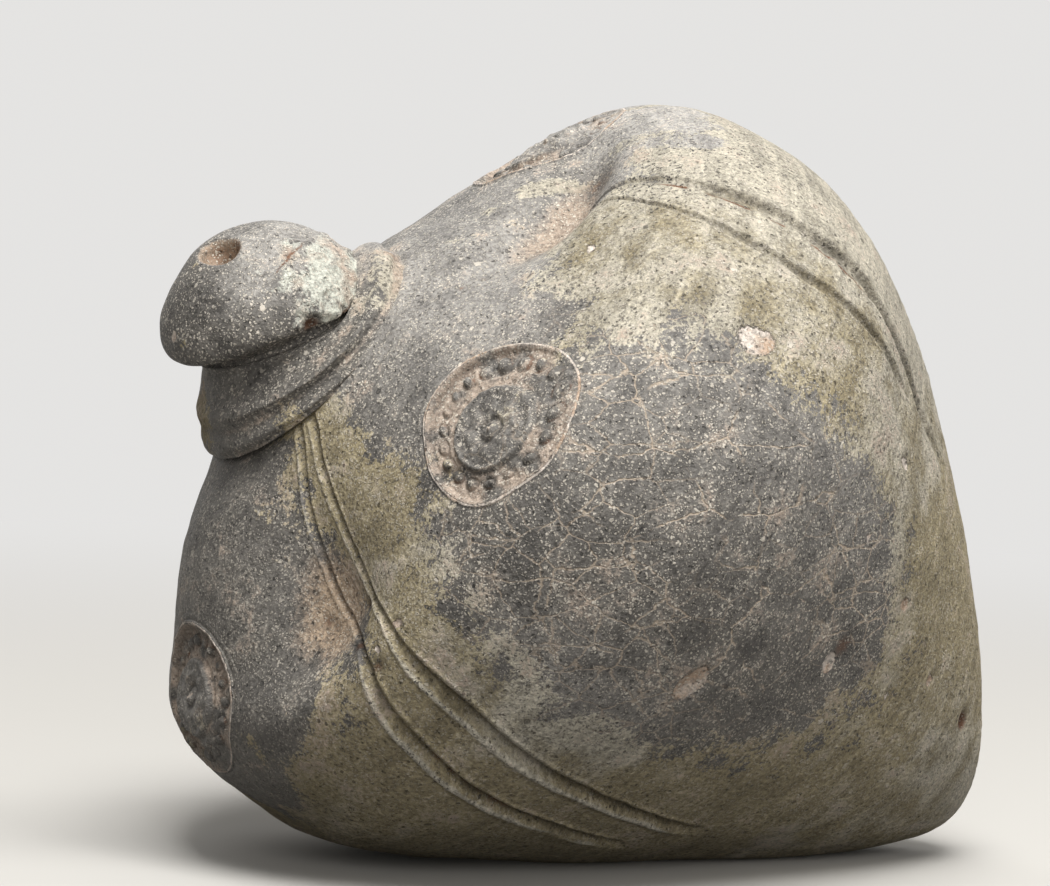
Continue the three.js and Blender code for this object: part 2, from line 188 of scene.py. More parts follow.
# Roundels, one on each lobe: the node that each one stands for, its place, its lobe's swell in
# millimetres, how far the stamp was turned, how much and which way its print was stretched as the lobe
# was pressed back into shape, how far that took the print's middle across the lobe and toward the neck,
# and which way its rim is worn
ROUNDELS = (
    {"node": "roundel_front", "turn": -91.8, "from_neck": 22.9, "swell": 2, "spin": 9,
     "stretch": 1.12, "toward": 35, "middle": (-1.7, -0.5), "worn": -40},
    {"node": "roundel_top", "turn": 8, "from_neck": 23, "swell": 1.4, "spin": 2,
     "stretch": 1.03, "toward": 20, "middle": (0, 0), "worn": 200},
    {"node": "roundel_back", "turn": 93, "from_neck": 24, "swell": 2, "spin": 14,
     "stretch": 1.08, "toward": 130, "middle": (0.4, -0.3), "worn": 120},
    {"node": "roundel_under", "turn": -177, "from_neck": 29, "swell": 3.4, "spin": 5,
     "stretch": 1.06, "toward": 0, "middle": (0.2, 0.3), "worn": 300},
)
# The dip that a roundel is set in: its depth, and the distances from the middle where its edge starts
# and ends
ROUNDEL_DIP = 1.1
ROUNDEL_DIP_EDGE = (8.3, 9.9)

# Incised lines in pairs: each line's width and depth against the largest, how much painted shade it holds,
# the stretches with a chipped edge as (line, first and last distance, side in widths), and each line's path
# as (distance from the neck, turn) points drawn
LINE_PAIRS = (
    {"widths": (1.0, 1.0), "depths": (1.0, 1.0), "painted_shade": (1.0, 1.0),
     "chipped": ((0, 46, 66, 0), (1, 62, 82, 0.1)),
     "paths": (
         ((0, -127), (9, -136.5), (20, -140.5), (31.5, -135.6), (38.5, -137.3), (57, -142.4), (80, -149.8)),
         ((0, -119.5), (6, -126), (13, -129.5), (23, -131), (30.7, -129.2), (38.5, -129.2), (60, -133.6),
          (86, -141)))},
    {"widths": (0.8, 1.3), "depths": (0.42, 0.66), "painted_shade": (0.85, 0.95),
     "chipped": ((1, 29, 56, -0.48),),
     "paths": (
         ((20, -30.5), (24.5, -36.6), (33, -46.3), (45, -51.3), (57, -50.6), (72, -48.6)),
         ((20.5, -26.5), (25, -30.8), (33, -38), (45, -42.4), (57, -43.4), (70, -43.6), (84, -43)))},
    {"widths": (0.85, 0.8), "depths": (0.8, 0.7), "painted_shade": (0.8, 0.8),
     "chipped": ((0, 50, 66, 0.3),),
     "paths": (
         ((18, 47), (30, 43), (44, 43.5), (58, 45), (74, 46)),
         ((18, 50), (30, 51.5), (44, 53), (58, 53.5), (70, 52)))},
    {"widths": (0.9, 0.9), "depths": (0.85, 0.85), "painted_shade": (0.9, 0.9),
     "chipped": ((1, 40, 56, -0.4),),
     "paths": (
         ((3, 131), (20, 131.5), (38, 131.5), (60, 134), (84, 139)),
         ((3, 139), (20, 138.5), (38, 140), (60, 144), (78, 148)))},
)
# In the flutes the lines are scratches with these shares of their depth and width. They grow to their
# full size between these distances, and fade out over this length before their lower ends.
SHALLOW_SHARE = 0.5
SHALLOW_WIDTH = 0.55
LINES_DEEPEN = (28, 42)
LINE_ENDS_OVER = 8
# Across a line, in widths: where its bank and its short wall start and end, and its burrs as (height
# against the line's depth, place, half-width); and the depth of a chip in millimetres
LINE_BANK = (-0.55, -0.05)
LINE_WALL = (0.1, 0.38)
LINE_BURRS = ((0.14, 0.52, 0.13), (0.17, -0.66, 0.16))
CHIP_DEPTH = 0.45

# Unevenness of the body in waves: height and spacing in millimetres, and seed
UNEVENNESS = ((0.24, 34, 3), (0.07, 9, 5), (0.035, 3.2, 8))
# Ridges left by turning, and rings beside the neck: height and spacing
TURNING_RIDGES = (0.035, 1.9)
NECK_RINGS = (0.08, 1.6)

# Gentle swellings and hollows left by the potter's hands: turn, distance from the neck, half-width in
# degrees, half-length and height in millimetres
BULGES = (
    (-178, 11, 32, 11, 2.3),
    (6, 8, 26, 7, -0.8),
    (-163, 43, 26, 14, 0.9),
    (-45, 74, 14, 11, -0.9),
    (70, 60, 24, 20, -0.7),
    (150, 66, 20, 16, 0.5),
)

# Places where the grey clay is bare: turn, distance from the neck, half-width in degrees and half-
# length in millimetres
GREY_PATCHES = (
    (-95, 54.5, 26, 33),
    (-84, 10, 26, 15),
    (-47, 6, 24, 11),
    (-182, 15, 46, 25),
    (8, 13, 36, 22),
    (92, 44, 25, 33),
    (100, 12, 34, 16),
    (12, 76, 12, 8),
    (24, 85, 9, 9),
    (31, 95, 8, 6),
    (168, 76, 9, 12),
    (176, 90, 8, 12),
)

# Small spalls with pale bottoms: their depth, and for each one its turn, distance from the neck,
# length, width and tilt in degrees
SPALL_DEPTH = 0.3
SPALLS = (
    (-65.6, 43.9, 4.6, 3.7, 60),
    (-110.5, 62.1, 4.6, 2.9, 10),
    (-96.2, 79.6, 2.7, 2.4, 0),
    (-60.3, 73.1, 2.4, 1.6, 80),
    (-76.1, 72.5, 1.2, 1.0, 0),
    (-76.9, 86.4, 1.6, 1.2, 40),
    (-81.3, 100.2, 1.5, 1.1, 0),
    (-93.3, 93.8, 1.4, 0.9, 20),
    (-50.0, 22.0, 1.7, 1.1, 0),
    (-127.7, 30.8, 1.5, 1.0, 30),
    (-132.9, 31.6, 1.2, 0.8, 60),
    (101, 55, 3.2, 2.1, 30),
    (78, 38, 1.8, 1.4, 0),
    (63, 88, 2.4, 1.7, 70),
    (15, 52, 2.6, 1.6, 20),
    (-8, 71, 1.6, 1.3, 0),
    (176, 60, 2.2, 1.8, 50),
    (142, 95, 1.8, 1.2, 0),
)

# Dents and pits, dark and rusty inside: turn, distance from the neck, half-size and depth
DENTS = (
    (-19.5, 22.4, 2.4, 0.45),
    (-48.4, 9.1, 0.7, 0.45),
    (-53.2, 7.2, 0.6, 0.4),
    (-144.9, 22.6, 0.8, 0.5),
    (-143.6, 23.9, 0.6, 0.4),
    (-133.5, 24.5, 0.8, 0.5),
    (-137.5, 28.5, 1.1, 0.6),
    (-134.2, 33.5, 1.2, 0.5),
    (-73.4, 114.1, 1.2, 0.9),
    (-92.6, 80.2, 1.9, 0.5),
    (110, 70, 1.3, 0.7),
    (30, 96, 1.2, 0.6),
)

# Grid of the body: rows along the outline and in the hollow, columns for each lobe, and how many of
# those stand close on either side of the lines and what share of the lobe they take up
LOWER_ROWS = 120
SHOULDER_ROWS = 112
INNER_ROWS = 9
LOBE_COLUMNS = 160
LINE_COLUMNS = 42
LINE_SHARE = 0.085

# Grids of the smaller pieces
NECK_COLUMNS = 240
COLLAR_ROWS = 90
KNOB_ROWS = 120
BORE_ROWS = 12
ROUNDEL_COLUMNS = 240
ROUNDEL_RINGS = 100
PAD_RINGS = 5

# How far outside its sunk field a roundel's raised rim line runs
RIM_LINE = 0.45

# Number of sine waves that are summed for smooth unevenness
WAVE_COUNT = 12

# The crusted side of the knob: turn, height, half-width in degrees and half-height; and the crack over
# it, as (turn, height) points, with the turns where it comes in and dies out
CRUST_PATCH = (-55, 5.4, 50, 6.2)
CRUST_CRACK = ((-86, 9.4), (-70, 9.6), (-54, 9.4), (-41, 9.0), (-26, 8.0))
CRACK_STARTS = (-86, -78)
CRACK_ENDS = (-36, -26)

# How far the knob's edge stands up, or hangs down where that is below 0: height, turn and half-width
KNOB_EDGE = ((-1.4, -28, 36), (0.55, -112, 24))
# Height that parts the mouth's edge from the stem, which are both near the knob's axis
MOUTH_ABOVE = 6

# The mouth's wear to an oval, across and to the front
MOUTH_OVAL = (0.84, 1.28)

# Clay of the collar pushed up against the knob: turn, half-width in degrees and height
COLLAR_HUMP = (-19, 50, 4.5)

# How the collar draws in: the share of its height that this takes and the power of its taper, and
# where, how widely and how much the waist is fuller
WAIST_SHARE = 0.865
WAIST_POWER = 1.7
FULL_WAIST = (-80, 55, 1.4)
# Ridges and grooves of the collar: height or depth, and level and half-width as shares of the collar's
# height
COLLAR_RIDGES = ((0.5, 0.5, 0.08), (0.2, 0.13, 0.07))
COLLAR_GROOVES = ((0.32, 0.29, 0.07), (0.2, 0.7, 0.1))
# Number of close wavy ridges on the collar's worn side
WORN_RINGS = 6

# Fields that are painted on the meshes and read by the clay
PAINTED = ("patina", "chalk_and_painted_light", "soil", "warm", "spall", "crazed", "dark", "rust", "crust", "smoothed")
# Where the broken edge of a painted field starts and ends
RAGGED_EDGES = {
    "patina": (-0.03, 0.05),
    "soil": (0.25, 0.85),
    "spall": (0.4, 0.6),
    "crust": (0.05, 0.35),
    "rust": (0.25, 0.8),
}

# Patterns of the clay, in millimetres: mottling, grain, and how long a turning streak is along the two
# axes across the flask and how wide along the third
BROAD_MOTTLE = 24
CLOSE_MOTTLE = 5
GRAIN = 0.55
STREAK = (26, 26, 1.1)
# Cracks: spacing, bend and half-width; and how places are scaled along X, Y and Z, so that level cracks
# are longer
COARSE_CRACKS = (9.0, 3.0, 0.095)
FINE_CRACKS = (4.6, 1.7, 0.08)
CRACK_SCALES = (0.85, 0.85, 1.2)
# Grit, pits and specks: spacing, largest radius and the share of grains that are there; the size of the
# bends that make them jagged, and the width of their soft edge
GRIT = ((0.3, 0.2, 1.0), (0.8, 0.32, 0.6), (3.6, 0.64, 0.45))
PITS = ((0.7, 0.26, 0.8), (2.3, 0.48, 0.5))
SPECKS = ((0.45, 0.26, 1.0),)
JAGGED = 0.5
GRAIN_EDGE = 0.045
# How dark the pits get; how dark dents, chips and the painted shade in lines, roundels and the mouth
# get; and how deep the fine relief goes
PIT_SHADE = 0.42
DENT_AND_PAINTED_SHADE = 0.35
FINE_RELIEF = 0.26
# Sockets of a mix of two colours: its share, the colour below, the colour above and the mixed colour
SHARE, BELOW, ABOVE, MIXED = 0, 6, 7, 2

# The stage: the backdrop's colour and strength, the dim light all round, the floor's sides, and where
# the floor fades out, in metres
BACKDROP = (1, 0.99, 0.975, 1)
BACKDROP_STRENGTH = 0.78
AMBIENT_STRENGTH = 0.16
FLOOR_SIDES = 96
FLOOR_FADES = (0.12, 0.55)
# Lamps: name, place and width in metres, and power in watts; and the place they face
LAMPS = (
    ("key", (-0.05, -0.42, 1.05), 0.7, 15.4),
    ("front", (-0.4, -1.3, 0.32), 0.8, 7.2),
    ("fill", (0.95, -0.65, 0.45), 0.9, 2.4),
    ("back", (0.25, 1.0, 0.75), 0.9, 4.5),
)
LAMPS_FACE = (0, 0, 0.04)
# The camera: its turn, rise and roll in degrees, what it looks at and how far that is moved to the
# right and up in the picture in millimetres, its distance in metres, and its lens and sensor in
# millimetres
CAMERA_TURN = -22.5
CAMERA_RISE = 2.9
CAMERA_ROLL = 2.2
CAMERA_FACES = (-9.87, 0, 37.14)
CAMERA_MOVED = (-13.11, 12.05)
CAMERA_DISTANCE = 0.6
CAMERA_LENS = 173.2
CAMERA_SENSOR = 36


# Formulas

def smooth_step(value, start, end):
    """0 up to start and 1 from end on, with a smooth rise between: 3 s squared less 2 s cubed."""
    share = np.clip((value - start) / (end - start), 0, 1)
    return share * share * (3 - 2 * share)


def bell(value, width):
    """A bell curve: e to the minus square of value over width."""
    return np.exp(-(value / width) ** 2)


def turn_apart(turn, other):
    """Signed angle in degrees from one turn to another, from -180 to 180."""
    return (turn - other + 180) % 360 - 180


def waves(places, spacing, seed):
    """Smooth unevenness, mostly between -1 and 1: the sum of a few sine waves that run in seeded
    directions, each about as long as the spacing, divided by the root of their number."""
    draw = np.random.default_rng(seed)
    ways = draw.normal(size=(WAVE_COUNT, 3))
    ways /= np.linalg.norm(ways, axis=1, keepdims=True)
    ways *= 2 * math.pi / (spacing * draw.uniform(0.7, 1.4, (WAVE_COUNT, 1)))
    phases = draw.uniform(0, 2 * math.pi, WAVE_COUNT)
    return np.sin(places @ ways.T + phases).sum(axis=-1) / math.sqrt(WAVE_COUNT)


def bent(start, corner, end, steps=400):
    """Points of a quadratic Bezier curve, which leaves start toward corner and comes to end from it."""
    share = np.linspace(0, 1, steps)[:, None]
    start, corner, end = np.array(start), np.array(corner), np.array(end)
    return (1 - share) ** 2 * start + 2 * share * (1 - share) * corner + share ** 2 * end


def bent_twice(start, first, second, end, steps=400):
    """Points of a cubic Bezier curve with two corners."""
    share = np.linspace(0, 1, steps)[:, None]
    start, first, second, end = np.array(start), np.array(first), np.array(second), np.array(end)
    rising = 3 * share * (1 - share) * ((1 - share) * first + share * second)
    return (1 - share) ** 3 * start + rising + share ** 3 * end


def through(path, at):
    """A smooth curve through (place, value) points: cubic pieces that share their slopes, level past
    its ends."""
    place, value = np.array(path, float).T
    slope = np.gradient(value, place)
    at = np.clip(at, place[0], place[-1])
    piece = np.clip(np.searchsorted(place, at, side="right") - 1, 0, len(place) - 2)
    gap = place[piece + 1] - place[piece]
    share = (at - place[piece]) / gap
    start = (1 - share) ** 2 * ((1 + 2 * share) * value[piece] + share * gap * slope[piece])
    end = share ** 2 * ((3 - 2 * share) * value[piece + 1] - (1 - share) * gap * slope[piece + 1])
    return start + end


def spaced(points, number):
    """Points of a section at even distances along it."""
    along = np.concatenate([[0], np.cumsum(np.hypot(*np.diff(points, axis=0).T))])
    at = np.linspace(0, along[-1], number)
    return np.stack([np.interp(at, along, points[:, 0]), np.interp(at, along, points[:, 1])], axis=-1)


def turned(radius, turn, height):
    """Places at a radius, a turn in degrees and a height about the Z axis."""
    return np.stack(np.broadcast_arrays(
        radius * np.cos(np.radians(turn)), radius * np.sin(np.radians(turn)), height), axis=-1)


def leaned(places, lean, front_lean, origin):
    """Places turned about the X axis so that Z tips to the front, then about the Y axis so that Z
    tips toward X, then moved to an origin."""
    x, y, z = np.moveaxis(places, -1, 0)
    sine, cosine = math.sin(front_lean), math.cos(front_lean)
    y, z = y * cosine - z * sine, y * sine + z * cosine
    x, z = x * math.cos(lean) + z * math.sin(lean), z * math.cos(lean) - x * math.sin(lean)
    return np.stack([x, y, z], axis=-1) + origin


def grid_normals(places):
    """Outward normals of a grid whose columns close round: the cross product of its two slopes."""
    across = np.roll(places, -1, axis=1) - np.roll(places, 1, axis=1)
    up = np.gradient(places, axis=0)
    normals = np.cross(across, up)
    return normals / np.maximum(np.linalg.norm(normals, axis=-1, keepdims=True), 1e-12)


class Body:
    """The potter's body without its fine marks. A place on it is told by its distance from the neck
    along the outline and by its turn in degrees about the axis from the top."""

    def __init__(self):
        size = bpy.context.scene.flask_body
        self.size = size
        slope = math.tan(size.flank_angle)
        flank_top = (size.radius - size.nose_radius) / slope
        widest = flank_top + size.widest_above_flank
        shoulder_foot = flank_top + size.belt_height
        self.seat = shoulder_foot + (size.radius - size.seat_radius) / math.tan(size.shoulder_angle)
        self.seam = widest - size.seam_below_widest
        foot = size.nose_rounding * math.cos(size.flank_angle)
        top = flank_top - size.flank_rounding * math.cos(size.flank_angle)
        edge = (size.radius - size.shoulder_rounding * math.sin(size.shoulder_angle),
                shoulder_foot + size.shoulder_rounding * math.cos(size.shoulder_angle))
        outline = np.concatenate([
            bent((0, 0), (size.nose_radius, 0), (size.nose_radius + slope * foot, foot)),
            bent((size.nose_radius + slope * top, top), (size.radius, flank_top), (size.radius, widest)),
            bent((size.radius, widest), (size.radius, shoulder_foot), edge)[1:],
            [(size.seat_radius, self.seat)],
        ])
        self.outline = outline
        along = np.concatenate([[0], np.cumsum(np.hypot(*np.diff(outline, axis=0).T))])
        self.length = along[-1]
        self.from_neck = (self.length - along)[::-1]
        self.radii = outline[::-1, 0]
        self.heights = outline[::-1, 1]
        self.seam_from_neck = np.interp(self.seam, outline[:, 1], self.length - along)
        self.pitch = size.flank_angle + size.pitch_gain

    def section(self, from_neck):
        """Radius and height of the outline."""
        radius = np.interp(from_neck, self.from_neck, self.radii)
        height = np.interp(from_neck, self.from_neck, self.heights)
        return radius, height

    def bowed(self, height):
        """Sideways place of the body's centre: minus the bow times the square of the way from its
        crest."""
        share = (height - self.size.bow_crest) / (self.seat - self.size.bow_crest)
        return -self.size.bow * share * share

    def flutes(self, turn, height):
        """How deep the flutes go in: a bell about each one's slanting line, fading to both its ends."""
        size = self.size
        depth = np.zeros(np.broadcast(turn, height).shape)
        for flute in FLUTES:
            deepest = flute["deepest"] * MM
            above = deepest - (self.seat - height)
            reach = np.where(above > 0, deepest - size.flute_head, flute["foot"] * MM - deepest)
            fade = 1 - smooth_step(np.abs(above), 0, reach)
            apart = turn_apart(turn, flute["turn"] + flute["slant"] * above / MM)
            depth += size.flute_depth * fade * bell(apart, math.degrees(size.flute_width))
        return depth

    def swell(self, turn, height):
        """How far the lobes are puffed out: a sine arch down the slope and a bell curve across."""
        rise = np.clip(1 - (self.seat - height) / self.size.swell_reach, 0, 1)
        out = np.zeros(np.broadcast(turn, height).shape)
        for lobe in ROUNDELS:
            across = bell(turn_apart(turn, lobe["turn"]), math.degrees(self.size.swell_width))
            out += lobe["swell"] * MM * np.sin(math.pi * rise) * across
        return out

    def place(self, from_neck, turn):
        """The outline turned about the bowed axis, less the flutes and plus the lobes' swell, square
        to the slope."""
        radius, height = self.section(from_neck)
        press = self.flutes(turn, height) - self.swell(turn, height)
        slope = self.size.shoulder_angle
        places = turned(radius - press * math.cos(slope), turn, height - press * math.sin(slope))
        places[..., 0] += self.bowed(height)
        return places

    def normal(self, from_neck, turn):
        """Outward normal: the cross product of two short steps on the body."""
        step = 0.2 * MM
        across = self.place(from_neck, turn + 0.5) - self.place(from_neck, turn - 0.5)
        up = self.place(from_neck - step, turn) - self.place(from_neck + step, turn)
        normals = np.cross(across, up)
        return normals / np.maximum(np.linalg.norm(normals, axis=-1, keepdims=True), 1e-15)

    def lie_down(self, places):
        """Places of the upright flask as it lies, in the shared frame, with nothing below the floor."""
        side, y, height = np.moveaxis(places, -1, 0)
        x = side * math.sin(self.pitch) - height * math.cos(self.pitch) + self.size.nose_x
        z = side * math.cos(self.pitch) + height * math.sin(self.pitch) + self.size.nose_z
        return np.stack([x, y, np.maximum(z, 0)], axis=-1)

    def near_roundel(self, from_neck, turn, roundel):
        """Distance to a roundel's middle along the lobe, with the stretch of its print taken out."""
        radius, _ = self.section(np.array(roundel["from_neck"] * MM))
        across = np.radians(turn_apart(turn, roundel["turn"])) * radius
        along = roundel["from_neck"] * MM - from_neck
        return np.hypot(*stretched(across, along, roundel["toward"], 1 / roundel["stretch"]))


def stretched(across, along, toward, stretch):
    """Places on a lobe stretched in one direction: the share of each place that lies that way is
    scaled."""
    way_across, way_along = math.cos(math.radians(toward)), math.sin(math.radians(toward))
    extra = (stretch - 1) * (across * way_across + along * way_along)
    return across + extra * way_across, along + extra * way_along


def incised_lines(body, from_neck, turn):
    """Depth of the incised lines, in metres, and how much painted shade in the groove and by its short
    wall, painted highlight on the lip beyond its bank and chipped edge is there, from 0 to 1. Across a
    line the depth is a smooth step down a bank times a smooth step up a short wall, less a low burr on
    either side. Lines are shallow in the flutes, deeper on the belly, and fade toward their ends."""
    radius, _ = body.section(from_neck)
    place = from_neck / MM
    deepen = smooth_step(place, *LINES_DEEPEN)
    wider = SHALLOW_WIDTH + (1 - SHALLOW_WIDTH) * deepen
    deeper = SHALLOW_SHARE + (1 - SHALLOW_SHARE) * deepen
    cut, wall, lip, chips = np.zeros((4, *turn.shape))
    for pair in LINE_PAIRS:
        for number, path in enumerate(pair["paths"]):
            width = pair["widths"][number] * wider * body.size.line_width
            across = np.radians(turn_apart(turn, through(path, place))) * radius / width
            first_end = smooth_step(place, path[0][0] - 2, path[0][0] + 2)
            last_end = 1 - smooth_step(place, path[-1][0] - LINE_ENDS_OVER, path[-1][0] + 1)
            depth = pair["depths"][number] * deeper * first_end * last_end
            groove = smooth_step(across, *LINE_BANK) * (1 - smooth_step(across, *LINE_WALL))
            burr = sum(rise * bell(across - side, half) for rise, side, half in LINE_BURRS)
            cut += (groove - burr) * depth
            # Painted shade in the groove, darkest toward its short wall, fading with the line
            drawn = pair["painted_shade"][number] * (0.6 + 0.4 * deepen) * first_end * last_end
            groove_shade = np.maximum(0.72 * groove, 0.95 * bell(across - 0.14, 0.26))
            wall = np.maximum(wall, groove_shade * drawn)
            # Painted highlight along the lip beyond the bank
            lip = np.maximum(lip, bell(across + 0.6, 0.15) * depth)
            for chipped, first, last, side in pair["chipped"]:
                if chipped == number:
                    starts = smooth_step(place, first - 3, first + 3)
                    ends = 1 - smooth_step(place, last - 3, last + 3)
                    chips = np.maximum(chips, bell(across - side, 0.25) * (starts * ends))
    return cut * body.size.line_depth, wall, lip, chips


def patch_field(place, turn, patches):
    """Signed field that is 1 in the middle of a patch, 0 on its edge and falls below 0 outside, over
    all patches: 1 less the cube root of the sum of the cubed shares of half-width and half-length."""
    field = np.full(turn.shape, -1.0)
    for middle, from_neck, half_width, half_length in patches:
        across = np.abs(turn_apart(turn, middle)) / half_width
        along = np.abs(place - from_neck) / half_length
        field = np.maximum(field, 1 - np.cbrt(across ** 3 + along ** 3))
    return field


def body_relief(body, from_neck, turn, dips):
    """How far the finished surface stands off the plain body, and the fields that its clay is
    painted by. The height is the sum of hand-made unevenness, bulges, incised lines, turning ridges,
    spalls, dents and, where asked for, the dips that the roundels are set in."""
    places = body.place(from_neck, turn)
    radius, height = body.section(from_neck)
    place = from_neck / MM
    lift = sum(rise * waves(places, spacing * MM, seed) for rise, spacing, seed in UNEVENNESS)
    for middle, centre, half_width, half_length, rise in BULGES:
        lift += rise * bell(turn_apart(turn, middle), half_width) * bell(place - centre, half_length)
    cut, wall, lip, chips = incised_lines(body, from_neck, turn)
    chips = chips * smooth_step(waves(places, 3.2 * MM, 19), -0.9, 0.4)
    # The painted shade in the lines, broken up along them
    wall = wall * (0.45 + 0.55 * smooth_step(waves(places, 6 * MM, 21), -0.8, 0.6))
    lift -= cut / MM * (1 + 0.2 * waves(places, 6 * MM, 11)) + CHIP_DEPTH * chips

    rise, spacing = TURNING_RIDGES
    turning = np.sin(2 * math.pi * place / spacing + 1.5 * waves(places, 30 * MM, 13))
    left = smooth_step(waves(places, 22 * MM, 17), -0.8, 0.8)
    lift += rise * turning * smooth_step(place, 40, 60) * left
    rise, spacing = NECK_RINGS
    neck_rings = np.sin(2 * math.pi * place / spacing) * (1 - smooth_step(place, 3, 6))
    lift += rise * neck_rings * bell(turn_apart(turn, -60), 60)

    spall, dent = np.zeros((2, *turn.shape))
    for middle, centre, long, wide, tilt in SPALLS:
        across = np.radians(turn_apart(turn, middle)) * radius / MM
        along = place - centre
        sine, cosine = math.sin(math.radians(tilt)), math.cos(math.radians(tilt))
        first = (across * cosine + along * sine) / (long / 2)
        second = (along * cosine - across * sine) / (wide / 2)
        spall = np.maximum(spall, 1.5 - np.hypot(first, second))
    lift -= SPALL_DEPTH * smooth_step(spall, 0.1, 0.9)
    for middle, centre, half, depth in DENTS:
        across = np.radians(turn_apart(turn, middle)) * radius / MM
        dent = np.maximum(dent, depth * bell(np.hypot(across, place - centre), half))
    lift -= dent
    if dips:
        for roundel in ROUNDELS:
            near = body.near_roundel(from_neck, turn, roundel) / MM
            lift -= ROUNDEL_DIP * (1 - smooth_step(near, *ROUNDEL_DIP_EDGE))

    # Bare grey clay, with an edge that wanders away from the front
    grey = patch_field(place, turn, GREY_PATCHES)
    behind = smooth_step(np.abs(turn_apart(turn, -95)), 45, 75)
    grey += behind * (0.28 * waves(places, 16 * MM, 23) + 0.16 * waves(places, 6 * MM, 24))
    # Pale skin on top, beside the first pair of lines and at the nose: partly the skin's own colour, partly
    # painted light that brightens these places
    chalk_and_painted_light = bell(turn_apart(turn, -15), 62) * smooth_step(place, 12, 30) * (1 - smooth_step(place, 62, 100))
    chalk_and_painted_light = np.maximum(chalk_and_painted_light, 0.5 * bell(turn_apart(turn, -121), 13) * bell(place - 52, 16))
    chalk_and_painted_light = np.maximum(chalk_and_painted_light, 0.4 * bell(turn_apart(turn, -85), 45) * smooth_step(place, 96, 118))
    # Clay rubbed pale next to the neck and beside the first pair of lines
    rubbed = bell(turn_apart(turn, -45), 58) * (1 - smooth_step(place, 14, 30))
    rubbed = np.maximum(rubbed, 0.45 * bell(turn_apart(turn, -120), 14) * bell(place - 18, 18))
    crazed = np.maximum(bell(turn_apart(turn, -88), 40), bell(turn_apart(turn, 92), 40))
    flute = body.flutes(turn, height) / body.size.flute_depth
    fields = {
        "patina": np.clip(-grey, -1, 1),
        # Pale skin and rubbed clay, partly painted light, and the painted highlight along the lines' lips
        "chalk_and_painted_light": np.maximum(np.maximum(chalk_and_painted_light, 0.8 * rubbed), lip),
        "soil": 0.85 * smooth_step(flute, 0.2, 1),
        "warm": smooth_step(flute, 0.3, 0.9) * (1 - 0.75 * bell(turn_apart(turn, -28), 25)),
        "spall": np.clip(spall, 0, 1),
        "crazed": crazed * smooth_step(place, 16, 30),
        # Dark in dents and chips, and painted shade in the lines
        "dark": np.clip(1.4 * dent + 0.85 * wall + 0.35 * chips, 0, 1),
        "rust": np.clip(1.2 * dent + 1.12 * chips, 0, 1),
        "smoothed": 0.5 * bell(turn_apart(turn, -172), 46),
    }
    return lift * MM, fields


# Meshes

def joined_rings(rings, closed):
    """Vertices and faces of a skin over rings of vertices that close round. A closed skin goes from
    its last ring back to its first, like a tyre; an open one shrinks its first and last rings to
    single points."""
    rows, columns = rings.shape[:2]
    if closed:
        numbers = np.arange(rows * columns).reshape(rows, columns)
        numbers = np.concatenate([numbers, numbers[:1]])
        vertices = rings.reshape(-1, 3)
        fans = []
    else:
        numbers = np.arange((rows - 2) * columns).reshape(rows - 2, columns) + 1
        vertices = np.concatenate([rings[0, :1], rings[1:-1].reshape(-1, 3), rings[-1, :1]])
        first, last = numbers[0], numbers[-1]
        start = np.stack([np.zeros_like(first), np.roll(first, -1), first], axis=-1)
        end = np.stack([last, np.roll(last, -1), np.full_like(last, len(vertices) - 1)], axis=-1)
        fans = start.tolist() + end.tolist()
    low, high = numbers[:-1], numbers[1:]
    quads = np.stack([low, np.roll(low, -1, axis=1), np.roll(high, -1, axis=1), high], axis=-1)
    return vertices, quads.reshape(-1, 4).tolist() + fans


def flat_rings(values, closed):
    """Values of a grid of rings in the order of their vertices."""
    if closed:
        return values.reshape(-1)
    return np.concatenate([values[0, :1], values[1:-1].reshape(-1), values[-1, :1]])


def make_piece(name, rings, fields, closed, node, material, kept_normals=None):
    """Makes one piece from rings of vertices in the shared frame, with its painted fields, and lets
    it stand for its node. Kept normals are (row, normals) pairs for rings whose shading runs on into
    the next piece."""
    vertices, faces = joined_rings(rings, closed)
    mesh = bpy.data.meshes.new(name)
    mesh.from_pydata(vertices.tolist(), [], faces)
    mesh.polygons.foreach_set("use_smooth", np.ones(len(mesh.polygons), bool))
    for field, values in fields.items():
        attribute = mesh.attributes.new(field, "FLOAT", "POINT")
        attribute.data.foreach_set("value", flat_rings(values, closed).astype(np.float32))
    mesh.update()
    if kept_normals:
        normals = np.zeros(len(vertices) * 3, np.float32)
        mesh.vertex_normals.foreach_get("vector", normals)
        normals = normals.reshape(-1, 3)
        columns = rings.shape[1]
        for row, kept in kept_normals:
            start = row * columns if closed else 1 + (row - 1) * columns
            normals[start:start + columns] = kept
        mesh.normals_split_custom_set_from_vertices(normals.tolist())
    mesh.materials.append(material)
    piece = bpy.data.objects.new(name, mesh)
    bpy.context.scene.collection.objects.link(piece)
    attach(piece, "root")
    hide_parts(node)


def with_inside(fields, rows):
    """Fields of an outer grid, carried on over rows that nobody sees."""
    return {name: np.concatenate([values, np.repeat(values[-1:], rows, axis=0)])
            for name, values in fields.items()}


# Materials

def add_node(tree, kind, inputs=None, **settings):
    """Adds a node, with its settings, and feeds its inputs with values or with other nodes' outputs."""
    node = tree.nodes.new(kind)
    for name, value in settings.items():
        setattr(node, name, value)
    for key, value in (inputs or {}).items():
        if isinstance(value, bpy.types.NodeSocket):
            tree.links.new(value, node.inputs[key])
        else:
            node.inputs[key].default_value = value
    return node.outputs


def opaque(shade):
    """A property's colour with full alpha."""
    return (*shade, 1)


